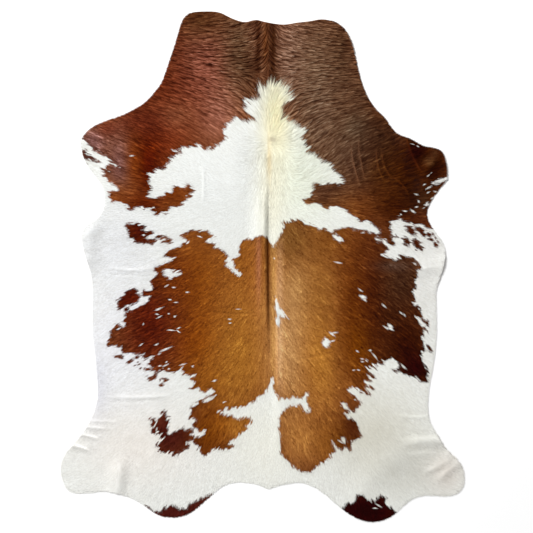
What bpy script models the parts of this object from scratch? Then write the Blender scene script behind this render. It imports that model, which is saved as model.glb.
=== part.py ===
"""A cowhide rug laid flat: one tanned skin with its short coat on.

The neck lies at +Y, the tail at -Y, and the coat is up. The rug is one closed sheet. OUTLINE
gives its cut edge and FOLDS the crests that lift it off the floor. Between them it lies flat.
"""
from collections import namedtuple

import bpy
import numpy as np
from mathutils import Vector
from mathutils.geometry import delaunay_2d_cdt

MM = 0.001

# Driving dimensions, in metres
RUG_WIDTH = 1.757
RUG_LENGTH = 2.220
SKIN = 2.0 * MM              # the tanned skin alone, which is what shows at the cut edge
COAT = 3.0 * MM              # the short hair that lies on it
RIM_SLOPE = 7 * MM           # the coat thins out to the cut edge over this width

# Size of the facets, in metres
EDGE_STEP = 24 * MM          # along the cut edge
FLAT_STEP = 72 * MM          # where the rug lies flat
FOLD_STEP = 0.75             # along a crest, as a share of the width of the fold
FOLD_STEP_RANGE = (14 * MM, 46 * MM)
POINT_GAP = 8.5 * MM         # no two points lie closer than this
EDGE_GAP = 11 * MM           # inner points stay this far inside the rim's slope
CREST_FADE = 0.3             # share of a crest over which it rises from the floor at each end

# The cut edge, clockwise as seen from above, a row for each stretch: its name and its points
# as (across, along) in mm from the middle of the rug.
Stretch = namedtuple("Stretch", "name points")
OUTLINE = (
    Stretch("neck edge", (
        (-352, 1064), (-336, 1089), (-306, 1106), (-256, 1110), (-186, 1106), (-136, 1082),
        (-76, 1064), (-31, 1076), (4, 1067), (89, 1054), (150, 1062), (204, 1067),
        (254, 1076), (309, 1066), (353, 1036))),
    Stretch("right side of the neck", (
        (384, 979), (402, 914), (426, 814), (444, 764), (464, 722), (494, 682), (535, 642),
        (554, 611), (589, 574))),
    Stretch("right foreleg", (
        (644, 554), (694, 526), (752, 515), (779, 500), (792, 464), (800, 419), (795, 374),
        (769, 339), (734, 289), (714, 239))),
    Stretch("right flank", (
        (716, 211), (738, 166), (768, 129), (790, 89), (793, 60), (786, 14), (766, -56),
        (756, -92), (756, -286), (741, -436), (726, -506), (719, -580), (720, -640))),
    Stretch("right hind leg", (
        (734, -686), (758, -726), (788, -776), (834, -824), (864, -860), (878, -926),
        (864, -971), (828, -994), (779, -998), (704, -995))),
    Stretch("right side of the rump", (
        (654, -1008), (604, -1046), (554, -1088), (479, -1110), (404, -1092), (329, -1041),
        (254, -978), (204, -950))),
    Stretch("tail", (
        (154, -938), (104, -946), (58, -955), (30, -968), (-21, -948), (-96, -937))),
    Stretch("left side of the rump", (
        (-146, -943), (-196, -971), (-246, -1016), (-296, -1058), (-346, -1084), (-396, -1090),
        (-446, -1082), (-496, -1051), (-546, -1018))),
    Stretch("left hind leg", (
        (-596, -996), (-671, -977), (-746, -984), (-796, -986), (-842, -976), (-867, -936),
        (-878, -871), (-858, -811), (-816, -761), (-776, -711))),
    Stretch("left flank", (
        (-746, -661), (-726, -611), (-717, -561), (-728, -386), (-740, -286), (-742, -61),
        (-752, -11), (-782, 89), (-786, 129), (-779, 162), (-752, 189), (-712, 214))),
    Stretch("left foreleg", (
        (-688, 264), (-687, 314), (-699, 354), (-732, 399), (-758, 431), (-782, 484),
        (-791, 536), (-783, 562), (-747, 602), (-697, 627))),
    Stretch("left side of the neck", (
        (-597, 663), (-547, 691), (-514, 711), (-467, 762), (-437, 804), (-418, 859),
        (-397, 919), (-366, 1019))),
)

# The folds, a row for each. The crest follows path, in mm from the middle of the rug, and
# stands height mm off the floor. Its sides fall away over left and right mm, on the left and
# right hand of someone who walks along the path. A path that leaves the rug lifts its edge.
Fold = namedtuple("Fold", "name height left right path")
FOLDS = (
    Fold("left roll of the spine", 11, 62, 32, (
        (0, -330), (-6, -80), (-8, 60), (-6, 200), (-2, 400))),
    Fold("right roll of the spine", 7, 52, 85, (
        (66, -950), (76, -600), (78, -200), (76, 60), (64, 320))),
    Fold("swell on the left of the neck", 8, 150, 150, (
        (-190, 640), (-205, 850), (-230, 1000), (-250, 1190))),
    Fold("swell on the right of the neck", 8, 150, 130, (
        (230, 640), (215, 850), (225, 1000), (240, 1190))),
    Fold("curl on the right of the neck", 6, 35, 35, ((412, 890), (388, 970), (366, 1050))),
    Fold("first wrinkle of the neck edge", 2.5, 9, 9, ((154, 1068), (174, 1050), (232, 1030))),
    Fold("second wrinkle of the neck edge", 2.5, 9, 9, ((130, 1060), (156, 1034), (200, 1016))),
    Fold("left shoulder swell", 12, 150, 110, ((-600, 240), (-590, 430), (-612, 560), (-640, 690))),
    Fold("left shoulder wrinkle", 2.5, 10, 10, ((-530, 702), (-526, 668), (-532, 626))),
    Fold("first wrinkle of the right shoulder", 3, 10, 10, (
        (380, 560), (386, 480), (398, 432), (412, 380), (440, 320))),
    Fold("second wrinkle of the right shoulder", 2.5, 9, 9, ((416, 590), (412, 500), (426, 430))),
    Fold("third wrinkle of the right shoulder", 3, 9, 9, (
        (504, 540), (500, 464), (506, 412), (540, 350))),
    Fold("fourth wrinkle of the right shoulder", 3.5, 10, 10, (
        (520, 540), (522, 464), (540, 410), (570, 384), (614, 350))),
    Fold("cross wrinkle of the right shoulder", 2.5, 10, 10, ((420, 314), (452, 326), (530, 354))),
    Fold("right foreleg, long crest", 16, 75, 45, (
        (592, 650), (602, 566), (626, 519), (652, 469), (694, 400), (700, 368), (686, 330),
        (650, 280))),
    Fold("right foreleg, slanting crest", 9, 22, 40, ((810, 508), (757, 474), (708, 424), (680, 384))),
    Fold("right foreleg, curled tip", 9, 40, 55, ((800, 510), (812, 420), (796, 330))),
    Fold("right flank, upper crease", 3, 14, 14, ((540, 208), (604, 203), (664, 194))),
    Fold("right flank, wave across the edge", 8, 70, 46, ((610, -16), (720, -4), (880, 14))),
    Fold("right flank, curled edge", 7, 40, 45, ((800, 100), (790, 14), (772, -42), (750, -130))),
    Fold("right hind leg, first ripple", 4, 20, 12, ((610, -746), (700, -738), (820, -730))),
    Fold("right hind leg, second ripple", 6, 14, 30, ((590, -768), (700, -768), (830, -760))),
    Fold("right hind leg, third ripple", 4, 18, 20, ((620, -808), (690, -806), (760, -796))),
    Fold("right hind leg, inner slant", 5, 20, 22, ((724, -872), (774, -834), (850, -780))),
    Fold("right hind leg, outer slant", 8, 24, 32, ((740, -940), (790, -886), (824, -858), (900, -812))),
    Fold("right side of the rump, swell", 6, 90, 90, (
        (680, -780), (540, -850), (460, -920), (380, -1080))),
    Fold("left flank, curled edge", 8, 40, 60, ((-742, -40), (-764, 60), (-768, 120), (-690, 230))),
    Fold("left flank, nick in the edge", 3, 12, 12, ((-790, 34), (-745, 30), (-700, 32))),
    Fold("left flank, upper crease", 2.5, 10, 10, ((-620, -6), (-545, -10), (-460, -4))),
    Fold("left flank, lower crease", 2.5, 10, 10, ((-600, -34), (-540, -32), (-470, -30))),
    Fold("left hip, cross crease", 2.5, 11, 11, ((-680, -560), (-560, -563), (-370, -554))),
    Fold("left hind leg, first ripple", 3, 12, 12, ((-810, -666), (-740, -672), (-680, -674))),
    Fold("left hind leg, second ripple", 4.5, 13, 14, ((-830, -686), (-750, -693), (-670, -699))),
    Fold("left hind leg, third ripple", 4.5, 13, 12, ((-850, -718), (-770, -727), (-690, -750))),
    Fold("left hind leg, fourth ripple", 6, 20, 20, ((-900, -764), (-800, -775), (-730, -798))),
    Fold("left hind leg, upright crest", 9, 70, 40, ((-638, -1080), (-630, -960), (-606, -810))),
    Fold("right hip, upper wrinkle", 2, 10, 10, ((310, -382), (240, -396), (180, -408))),
    Fold("right hip, lower wrinkle", 2, 10, 10, ((272, -630), (215, -660), (150, -722))),
)

HIDE_COLOUR = (0.22, 0.10, 0.05, 1.0)
HIDE_ROUGHNESS = 0.7


def spline(points, steps, closed=False):
    """A smooth curve through the points, as steps points for each span."""
    points = np.array(points, float)
    if closed:
        ring = np.vstack((points[-1], points, points[:2]))
    else:
        ring = np.vstack((2 * points[0] - points[1], points, 2 * points[-1] - points[-2]))
    curve = []
    for a, b, c, d in zip(ring, ring[1:], ring[2:], ring[3:]):
        knot_b = np.linalg.norm(b - a) ** 0.5
        knot_c = knot_b + np.linalg.norm(c - b) ** 0.5
        knot_d = knot_c + np.linalg.norm(d - c) ** 0.5
        for t in np.linspace(knot_b, knot_c, steps, endpoint=False):
            ab = a + (b - a) * t / knot_b
            bc = b + (c - b) * (t - knot_b) / (knot_c - knot_b)
            cd = c + (d - c) * (t - knot_c) / (knot_d - knot_c)
            abc = ab + (bc - ab) * t / knot_c
            bcd = bc + (cd - bc) * (t - knot_b) / (knot_d - knot_b)
            curve.append(abc + (bcd - abc) * (t - knot_b) / (knot_c - knot_b))
    if not closed:
        curve.append(points[-1])
    return np.array(curve)


def evenly(curve, step):
    """Points about a step apart along an open curve, both its ends included."""
    lengths = np.concatenate(([0], np.cumsum(np.linalg.norm(np.diff(curve, axis=0), axis=1))))
    places = np.linspace(0, lengths[-1], max(2, round(lengths[-1] / step) + 1))
    return np.column_stack([np.interp(places, lengths, curve[:, axis]) for axis in (0, 1)])


def left_normals(path):
    """The unit vectors to the left hand at each point of an open path."""
    ahead = np.gradient(path, axis=0)
    ahead /= np.linalg.norm(ahead, axis=1)[:, None]
    return np.column_stack((-ahead[:, 1], ahead[:, 0]))


def nearest_on(path, places):
    """Where each place lies beside a path: its offset to the left, and its share of the way."""
    starts, spans = path[:-1], np.diff(path, axis=0)
    lengths = np.linalg.norm(spans, axis=1)
    before = np.concatenate(([0], np.cumsum(lengths)))
    rel = places[:, None, :] - starts[None]
    share = np.clip((rel * spans).sum(2) / lengths ** 2, 0, 1)
    gap = rel - share[:, :, None] * spans
    distance = np.hypot(gap[:, :, 0], gap[:, :, 1])
    best = distance.argmin(axis=1)
    rows = np.arange(len(places))
    side = spans[best, 0] * rel[rows, best, 1] - spans[best, 1] * rel[rows, best, 0]
    way = (before[best] + share[rows, best] * lengths[best]) / before[-1]
    return distance[rows, best] * np.where(side < 0, -1, 1), way


def fold_height(places):
    """How far the folds lift the underside off the floor at each place."""
    total = np.zeros(len(places))
    for fold in FOLDS:
        offset, way = nearest_on(spline(fold.path, 8) * MM, places)
        width = np.where(offset > 0, fold.left, fold.right) * MM
        side = np.cos(np.clip(np.abs(offset) / width, 0, 1) * np.pi / 2) ** 2
        end = np.sin(np.clip(np.minimum(way, 1 - way) / CREST_FADE, 0, 1) * np.pi / 2) ** 2
        total += fold.height * MM * side * end
    return total


def cut_edge():
    """The closed outline, evenly spaced, stretched to the rug's size about its middle."""
    points = [point for stretch in OUTLINE for point in stretch.points]
    curve = spline(points, 12, closed=True) * MM
    edge = evenly(np.vstack((curve, curve[:1])), EDGE_STEP)[:-1]
    low, high = edge.min(axis=0), edge.max(axis=0)
    return (edge - (low + high) / 2) * (RUG_WIDTH, RUG_LENGTH) / (high - low)


def inset(edge, distance):
    """A clockwise ring of points moved inwards."""
    ahead = np.roll(edge, -1, axis=0) - np.roll(edge, 1, axis=0)
    ahead /= np.linalg.norm(ahead, axis=1)[:, None]
    return edge + distance * np.column_stack((ahead[:, 1], -ahead[:, 0]))


def inside(ring, places, margin):
    """Which places lie inside a clockwise ring by at least the margin."""
    offset, _ = nearest_on(np.vstack((ring, ring[:1])), places)
    crossings = np.zeros(len(places), int)
    for (x1, y1), (x2, y2) in zip(ring, np.roll(ring, -1, axis=0)):
        spans = (y1 > places[:, 1]) != (y2 > places[:, 1])
        if y1 != y2:
            meet = x1 + (places[:, 1] - y1) * (x2 - x1) / (y2 - y1)
            crossings += spans & (places[:, 0] < meet)
    return (crossings % 2 == 1) & (np.abs(offset) > margin)


def fold_points():
    """Rows of points along each crest and down its sides."""
    points = []
    for fold in FOLDS:
        width = (fold.left + fold.right) / 2 * MM
        step = np.clip(FOLD_STEP * width, *FOLD_STEP_RANGE)
        crest = evenly(spline(fold.path, 8) * MM, step)
        normals = left_normals(crest)
        shares = (1, 0.5, 0) if width < 12 * MM else (1, 0.62, 0.3, 0)
        for share in shares:
            points.extend(crest + normals * share * fold.left * MM)
            if share:
                points.extend(crest - normals * share * fold.right * MM)
    return points


def flat_points():
    """A triangular grid over the whole rug."""
    rows = int(RUG_LENGTH / FLAT_STEP / 0.866) + 1
    columns = int(RUG_WIDTH / FLAT_STEP) + 1
    return [((column - columns / 2 + row % 2 / 2) * FLAT_STEP, (row - rows / 2) * FLAT_STEP * 0.866)
            for row in range(rows + 1) for column in range(columns + 1)]


def thin_out(points, gaps):
    """Drop each point that lies too near an earlier one."""
    kept = np.empty((0, 2))
    for point, gap in zip(points, gaps):
        if not len(kept) or np.hypot(*(kept - point).T).min() > gap:
            kept = np.vstack((kept, point))
    return kept


def inner_points(rim):
    """The points of the sheet inside its rim, close together only where it folds."""
    folds, flats = fold_points(), flat_points()
    points = np.array(folds + flats)
    gaps = np.array([POINT_GAP] * len(folds) + [FLAT_STEP / 2] * len(flats))
    within = inside(rim, points, EDGE_GAP)
    return thin_out(points[within], gaps[within])


def triangles(ring, inner):
    """Facets over a ring and its inner points, as indices into the two lists in turn."""
    points = [Vector(point) for point in np.vstack((ring, inner))]
    edges = [(i, (i + 1) % len(ring)) for i in range(len(ring))]
    _, _, faces, _, _, _ = delaunay_2d_cdt(points, edges, [], 1, 1e-7)
    return [tuple(face) for face in faces]


def sheet_mesh(name):
    """The closed sheet: a flat or folded underside, a cut edge and the rounded coat above."""
    edge = cut_edge()
    rim = inset(edge, RIM_SLOPE)
    inner = inner_points(rim)
    count = len(edge)

    edge_lift, rim_lift, inner_lift = fold_height(edge), fold_height(rim), fold_height(inner)
    underside = np.column_stack((np.vstack((edge, inner)), np.concatenate((edge_lift, inner_lift))))
    skin_edge = np.column_stack((edge, edge_lift + SKIN))
    coat_lift = np.concatenate((rim_lift, inner_lift)) + SKIN + COAT
    coat = np.column_stack((np.vstack((rim, inner)), coat_lift))

    vertices = np.vstack((underside, skin_edge, coat))
    skin_start = len(underside)
    coat_start = skin_start + count
    faces = [tuple(reversed(face)) for face in triangles(edge, inner)]
    faces += [tuple(i + coat_start for i in face) for face in triangles(rim, inner)]
    for i in range(count):
        j = (i + 1) % count
        faces.append((j, i, skin_start + i, skin_start + j))
        faces.append((skin_start + j, skin_start + i, coat_start + i, coat_start + j))

    mesh = bpy.data.meshes.new(name)
    mesh.from_pydata(vertices.tolist(), [], faces)
    mesh.shade_smooth()
    mesh.set_sharp_from_angle(angle=np.radians(40))
    return mesh


def hide_material():
    """Brown hair, the main colour of the coat."""
    material = bpy.data.materials.new("hide")
    material.use_nodes = True
    shader = material.node_tree.nodes["Principled BSDF"]
    shader.inputs["Base Color"].default_value = HIDE_COLOUR
    shader.inputs["Roughness"].default_value = HIDE_ROUGHNESS
    shader.inputs["Metallic"].default_value = 0.0
    return material


def build():
    for old in list(bpy.data.objects):
        bpy.data.objects.remove(old)
    mesh = sheet_mesh("cowhide")
    mesh.materials.append(hide_material())
    bpy.context.scene.collection.objects.link(bpy.data.objects.new("cowhide", mesh))


build()
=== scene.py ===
# %% [markdown]
# # A cowhide rug, laid flat
#
# The rug is one whole hide, tanned with its hair still on it, and it lies flat on the floor.
# The CAD solid already has its cut outline and the shallow folds that a rolled hide keeps, so
# this lesson dresses it: the leather as a thin sheet, and the coat as many small locks of hair.
# Everything is measured in the frame of the CAD model, in metres: X runs across the hide, Y
# runs from the tail to the neck, and Z is up from the floor.

# %% Load the CAD model as a fixed frame
import math
import bpy
import bmesh
import numpy as np
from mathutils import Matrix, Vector, geometry, kdtree
from mathutils.bvhtree import BVHTree


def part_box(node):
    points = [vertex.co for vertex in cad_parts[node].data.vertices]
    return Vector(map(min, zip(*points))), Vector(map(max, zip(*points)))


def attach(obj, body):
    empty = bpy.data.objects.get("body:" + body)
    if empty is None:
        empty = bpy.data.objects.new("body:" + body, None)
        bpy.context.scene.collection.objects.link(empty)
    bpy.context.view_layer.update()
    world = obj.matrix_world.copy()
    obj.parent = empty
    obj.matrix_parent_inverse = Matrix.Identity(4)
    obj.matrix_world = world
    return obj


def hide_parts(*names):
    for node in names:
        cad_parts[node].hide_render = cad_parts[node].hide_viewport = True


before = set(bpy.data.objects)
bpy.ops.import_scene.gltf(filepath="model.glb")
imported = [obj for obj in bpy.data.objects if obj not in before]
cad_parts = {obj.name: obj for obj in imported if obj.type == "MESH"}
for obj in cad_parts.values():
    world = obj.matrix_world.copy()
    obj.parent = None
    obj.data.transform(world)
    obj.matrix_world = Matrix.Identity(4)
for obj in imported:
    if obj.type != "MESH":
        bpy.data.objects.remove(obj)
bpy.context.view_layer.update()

MM = 0.001
bpy.ops.object.select_all(action="DESELECT")

# %% [markdown]
# ## The camera
#
# The photograph looks straight down, with the hide's length up the picture. One pixel covers
# 4.34 mm, and the picture is square. A camera high above the floor has almost no perspective,
# and its lens follows from the width that the picture has to cover.

# %% A camera straight above the hide
PIXEL = 4.34 * MM
PICTURE_PIXELS = 533
PICTURE_CENTRE = (16.5 * MM, 0.9 * MM)
CAMERA_HEIGHT = 4.5

bpy.ops.object.camera_add(location=(*PICTURE_CENTRE, CAMERA_HEIGHT), rotation=(0, 0, 0))
camera = bpy.context.object
camera.name = "camera_above"
camera.data.sensor_width = 36
camera.data.lens = 36 * CAMERA_HEIGHT / (PIXEL * PICTURE_PIXELS)
bpy.context.scene.camera = camera
print("lens in mm:", round(camera.data.lens, 1))

# %% [markdown]
# ## Soft studio light
#
# Folds only a few millimetres high show in the photograph because the light comes from one
# side, the upper left. A big softbox far away does that evenly over two metres of hide, and a
# white world fills the shadows. A pale floor catches the rug's own soft shadow.

# %% Softbox, white surroundings and floor
SOFTBOX_AT = (-7.8, 6.9, 10.5)
SOFTBOX_SIZE = 4.5
SOFTBOX_POWER = 2600
SURROUNDINGS = 0.40
FLOOR_SIZE = 14
FLOOR_BELOW = 0.3 * MM       # so that the floor and the suede never share a plane


def aim(light, target):
    """Turns a light so that it shines from where it is towards the target."""
    direction = Vector(target) - light.location
    light.rotation_euler = direction.to_track_quat("-Z", "Y").to_euler()


bpy.ops.object.light_add(type="AREA", location=SOFTBOX_AT)
softbox = bpy.context.object
softbox.name = "softbox"
softbox.data.shape = "SQUARE"
softbox.data.size = SOFTBOX_SIZE
softbox.data.energy = SOFTBOX_POWER
aim(softbox, (0, 0, 0))

world = bpy.data.worlds.new("white_surroundings")
world.use_nodes = True
background = world.node_tree.nodes["Background"]
background.inputs["Color"].default_value = (1.0, 1.0, 1.0, 1.0)
background.inputs["Strength"].default_value = SURROUNDINGS
bpy.context.scene.world = world
bpy.context.scene.view_settings.view_transform = "Standard"

bpy.ops.mesh.primitive_plane_add(size=FLOOR_SIZE, location=(0, 0, -FLOOR_BELOW))
floor = bpy.context.object
floor.name = "floor"
floor_paint = bpy.data.materials.new("pale floor")
floor_paint.use_nodes = True
floor_shader = floor_paint.node_tree.nodes["Principled BSDF"]
floor_shader.inputs["Base Color"].default_value = (0.93, 0.93, 0.93, 1.0)
floor_shader.inputs["Roughness"].default_value = 0.9
floor.data.materials.append(floor_paint)

# %% [markdown]
# ## How the hide lies
#
# The leather and the hair have to follow the CAD solid's folds. Rays shot up from below the
# floor find the height of its underside on a 5 mm grid. The CAD faces are coarse, so the grid
# is blurred a little, which gives the soft, continuous folds of real leather. Outside the
# outline the grid takes over the nearest heights, so that the blur doesn't bend the edge.

# %% Height of the underside on a grid
GRID_STEP = 5 * MM
GRID_MARGIN = 30 * MM        # how far the grid goes past the hide's box
CARRIED_OUT = 16             # cells that the nearest heights are carried past the outline
FOLD_BLUR = 1.5              # cells
hide_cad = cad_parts["cowhide"]
cad_points = [corner.co.copy() for corner in hide_cad.data.vertices]
cad_faces = [tuple(face.vertices) for face in hide_cad.data.polygons]
cad_tree = BVHTree.FromPolygons(cad_points, cad_faces)
low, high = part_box("cowhide")
grid_x = np.arange(low.x - GRID_MARGIN, high.x + GRID_MARGIN, GRID_STEP)
grid_y = np.arange(low.y - GRID_MARGIN, high.y + GRID_MARGIN, GRID_STEP)
lie_grid = np.full((len(grid_y), len(grid_x)), np.nan)
for row, y in enumerate(grid_y):
    for column, x in enumerate(grid_x):
        hit = cad_tree.ray_cast(Vector((x, y, -1.0)), Vector((0, 0, 1)))
        if hit[0] is not None:
            lie_grid[row, column] = hit[0].z


def neighbours_mean(grid):
    """The mean of the known cells among each cell's four neighbours."""
    padded = np.pad(grid, 1, constant_values=np.nan)
    around = np.stack([padded[:-2, 1:-1], padded[2:, 1:-1], padded[1:-1, :-2], padded[1:-1, 2:]])
    known = ~np.isnan(around)
    total = np.where(known, around, 0).sum(axis=0)
    return np.where(known.any(axis=0), total / np.maximum(known.sum(axis=0), 1), np.nan)


def blur(grid, cells):
    """A Gaussian blur of a grid, that many cells wide."""
    reach = int(3 * cells) + 1
    offsets = np.arange(-reach, reach + 1)
    weights = np.exp(-0.5 * (offsets / cells) ** 2)
    weights /= weights.sum()
    for axis in (0, 1):
        widths = [(reach, reach) if axis == side else (0, 0) for side in (0, 1)]
        wide = np.pad(grid, widths, mode="edge")
        grid = sum(
            weight * np.take(wide, np.arange(grid.shape[axis]) + step, axis=axis)
            for step, weight in enumerate(weights)
        )
    return grid


hide_share = 1 - np.isnan(lie_grid).mean()
for _ in range(CARRIED_OUT):
    lie_grid = np.where(np.isnan(lie_grid), neighbours_mean(lie_grid), lie_grid)
lie_grid = blur(np.nan_to_num(lie_grid), FOLD_BLUR)
print("share of the grid under the hide:", round(float(hide_share), 3))
print("highest fold in mm:", round(float(lie_grid.max()) / MM, 1))


# %% [markdown]
# Some creases are too narrow for the CAD solid's faces: the sharp one beside the spine, the
# wrinkles of the right shoulder and the ripples of the hind legs. Each is one row here, a soft
# ridge or trough along a line. They are added on a finer grid, so that the hair shows them.

# %% Table of narrow creases
CREASES = (
    # height and half width in mm (a trough is negative), then the line's points in mm
    (2.6, 15, ((10, 420), (8, 200), (10, 0), (14, -180), (18, -330))),       # roll left of the crease
    (-1.2, 6, ((26, 430), (25, 200), (27, 0), (29, -200), (31, -420))),      # crease on the spine
    (1.2, 9, ((58, 120), (60, -100), (62, -400), (58, -640))),              # ridge right of it
    (-1.2, 7, ((-250, -192), (-120, -203), (15, -197))),                    # across the back
    (-1.1, 7, ((120, -404), (215, -388), (300, -372))),
    (3.8, 10, ((384, 560), (390, 470), (402, 420), (420, 350))),            # right shoulder
    (3.6, 10, ((420, 590), (418, 510), (432, 430), (448, 360))),
    (4.0, 9, ((492, 520), (500, 440), (528, 366))),
    (3.4, 9, ((514, 520), (526, 440), (566, 372))),
    (4.0, 13, ((606, 600), (640, 500), (668, 440), (690, 400))),
    (3.6, 11, ((560, 392), (610, 352), (640, 300))),
    (1.8, 9, ((470, 620), (520, 590), (560, 545))),
    (7.5, 28, ((590, -756), (690, -750), (760, -748), (830, -760))),        # right hind leg
    (-1.2, 16, ((600, -796), (700, -790), (820, -796))),
    (4.5, 24, ((690, -890), (765, -862), (835, -818))),
    (2.0, 14, ((560, -640), (660, -650), (760, -640))),
    (1.6, 8, ((-600, -670), (-690, -668), (-800, -664))),                   # left hind leg
    (2.2, 10, ((-640, -704), (-740, -694), (-830, -688))),
    (2.4, 11, ((-690, -748), (-770, -728), (-850, -716))),
    (2.4, 12, ((-730, -800), (-800, -776), (-890, -762))),
    (1.2, 10, ((-380, -556), (-540, -566), (-700, -560))),                  # left hip
    (-0.6, 8, ((-430, -574), (-560, -584), (-690, -578))),
    (1.6, 10, ((-460, -8), (-560, -14), (-700, 0))),                        # left flank
    (-1.0, 8, ((-480, -40), (-560, -36), (-700, -30))),
    (1.6, 12, ((-500, -320), (-620, -330), (-730, -322))),
    (1.6, 10, ((600, -20), (680, -8), (770, 6))),                           # right flank
    (1.6, 10, ((-262, 470), (-258, 360), (-262, 260))),                     # cape, left
)
print("creases:", len(CREASES))

# %% A finer grid
CELL = 2.5 * MM
cell_x = np.arange(grid_x[0], grid_x[-1], CELL)
cell_y = np.arange(grid_y[0], grid_y[-1], CELL)


def to_cells(grid):
    """The same grid with cells of 2.5 mm, its values interpolated between the old ones."""
    by_column = np.array([np.interp(cell_x, grid_x, line) for line in grid])
    return np.array([np.interp(cell_y, grid_y, line) for line in by_column.T]).T


height = to_cells(lie_grid)
print("cells:", height.size)

# %% [markdown]
# Each crease has a rounded profile and fades out towards its two ends. Once they are in, a
# second grid, rise, says how many millimetres each place stands above the hide around it. The
# colour uses it for painted light and shade: lighter on such crests and darker in the troughs.

# %% Add the creases
CREASE_END = 0.25            # share of a crease over which it fades out at each end
DEEPEST = -1.2 * MM
RISE_BLUR = 4                # cells
RISE_RANGE = (-1.5, 2.0)     # mm


def smooth_line(points, per_span):
    """Points on a smooth curve (Catmull-Rom) through a few points."""
    ends = np.vstack([2 * points[0] - points[1], points, 2 * points[-1] - points[-2]])
    steps = np.linspace(0, 1, per_span, endpoint=False)[:, None]
    spans = [points[-1:]]
    for a, b, c, d in zip(ends[:-3], ends[1:-2], ends[2:-1], ends[3:]):
        curve = 2 * b + (c - a) * steps + (2 * a - 5 * b + 4 * c - d) * steps ** 2
        spans.insert(-1, (curve + (3 * b - a - 3 * c + d) * steps ** 3) / 2)
    return np.vstack(spans)


for crease_height, half_width, points in CREASES:
    line = smooth_line(np.array(points, dtype=float) * MM, 8)
    reach = half_width * MM
    columns = slice(*np.searchsorted(cell_x, [line[:, 0].min() - reach, line[:, 0].max() + reach]))
    lines = slice(*np.searchsorted(cell_y, [line[:, 1].min() - reach, line[:, 1].max() + reach]))
    spot_x, spot_y = np.meshgrid(cell_x[columns], cell_y[lines])
    nearest = np.full(spot_x.shape, reach)
    fade = np.zeros(spot_x.shape)
    walked = np.linspace(0, 1, len(line))
    for number, (start, end) in enumerate(zip(line[:-1], line[1:])):
        run = end - start
        share = ((spot_x - start[0]) * run[0] + (spot_y - start[1]) * run[1]) / (run @ run)
        share = np.clip(share, 0, 1)
        away = np.hypot(spot_x - start[0] - share * run[0], spot_y - start[1] - share * run[1])
        place = walked[number] + share * (walked[1] - walked[0])
        still = np.clip(np.minimum(place, 1 - place) / CREASE_END, 0, 1)
        fade = np.where(away < nearest, still, fade)
        nearest = np.minimum(nearest, away)
    profile = 0.5 + 0.5 * np.cos(math.pi * nearest / reach)
    height[lines, columns] += crease_height * MM * profile * fade
height = np.maximum(height, DEEPEST)
rise = np.clip((height - blur(height, RISE_BLUR)) / MM, *RISE_RANGE)
print("heights in mm from", round(float(height.min()) / MM, 1), "to", round(float(height.max()) / MM, 1))


# %% Read the height anywhere
def read_grid(grid, points):
    """Value of a grid of 2.5 mm cells at each point of an (n, 2) array."""
    along = np.clip((points[:, 0] - cell_x[0]) / CELL, 0, len(cell_x) - 1.001)
    up = np.clip((points[:, 1] - cell_y[0]) / CELL, 0, len(cell_y) - 1.001)
    column = along.astype(int)
    row = up.astype(int)
    right = along - column
    above = up - row
    lower = grid[row, column] * (1 - right) + grid[row, column + 1] * right
    upper = grid[row + 1, column] * (1 - right) + grid[row + 1, column + 1] * right
    return lower * (1 - above) + upper * above


def lie(points):
    """Height of the hide's underside: a little below the floor only in a trough of the coat."""
    return read_grid(height, points)


print("height on the spine's left roll in mm:", np.round(lie(np.array([[0.0, 0.1]])) / MM, 1))

# %% [markdown]
# ## The cut edge
#
# A hide is trimmed with a knife all round, so its outline is one closed line. In the CAD solid
# that line is where the flat underside meets the small upright wall of the leather. Those
# edges are picked by the direction of the two faces that they join, and are then chained end
# to end, and the line is spaced out evenly and smoothed a little.

# %% Chain the edges between underside and wall
FACES_DOWN = -0.6            # the underside's normals point lower than this
UPRIGHT = 0.3                # and the wall's are nearer to level than this


def chain(pairs):
    """The points of a closed line, from its edges in any order."""
    beside = {}
    for a, b in pairs:
        beside.setdefault(a, []).append(b)
        beside.setdefault(b, []).append(a)
    start = next(iter(beside))
    line = [start]
    before = None
    while True:
        following = [point for point in beside[line[-1]] if point != before]
        before = line[-1]
        if following[0] == start or len(line) > len(beside):
            return line
        line.append(following[0])


solid = bmesh.new()
solid.from_mesh(hide_cad.data)
bmesh.ops.remove_doubles(solid, verts=solid.verts, dist=1e-6)
rim_pairs = []
for edge in solid.edges:
    if len(edge.link_faces) == 2:
        tilts = sorted(face.normal.z for face in edge.link_faces)
        if tilts[0] < FACES_DOWN and abs(tilts[1]) < UPRIGHT:
            rim_pairs.append(tuple(corner.index for corner in edge.verts))
rim_chain = chain(rim_pairs)
solid.verts.ensure_lookup_table()
cad_edge = np.array([solid.verts[i].co[:2] for i in rim_chain])
solid.free()
print("edges in the cut line:", len(rim_pairs), "chained:", len(rim_chain))


# %% An even, smooth outline
OUTLINE_STEP = 4 * MM
SMOOTHINGS = 4


def unit(vectors):
    """The same vectors with a length of one."""
    return vectors / np.linalg.norm(vectors, axis=1)[:, None]


def left_of(vectors):
    """Flat vectors turned a quarter to the left."""
    return np.column_stack([-vectors[:, 1], vectors[:, 0]])


def spaced(line, step):
    """A closed line's points at an even step along it."""
    closed = np.vstack([line, line[:1]])
    walked = np.concatenate([[0], np.cumsum(np.linalg.norm(np.diff(closed, axis=0), axis=1))])
    count = int(round(walked[-1] / step))
    stops = np.linspace(0, walked[-1], count, endpoint=False)
    return np.column_stack([np.interp(stops, walked, closed[:, side]) for side in (0, 1)])


def turning(line):
    """Area that a closed line turns round: positive where it runs anticlockwise."""
    following = np.roll(line, -1, axis=0)
    return 0.5 * float((line[:, 0] * following[:, 1] - line[:, 1] * following[:, 0]).sum())


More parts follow.
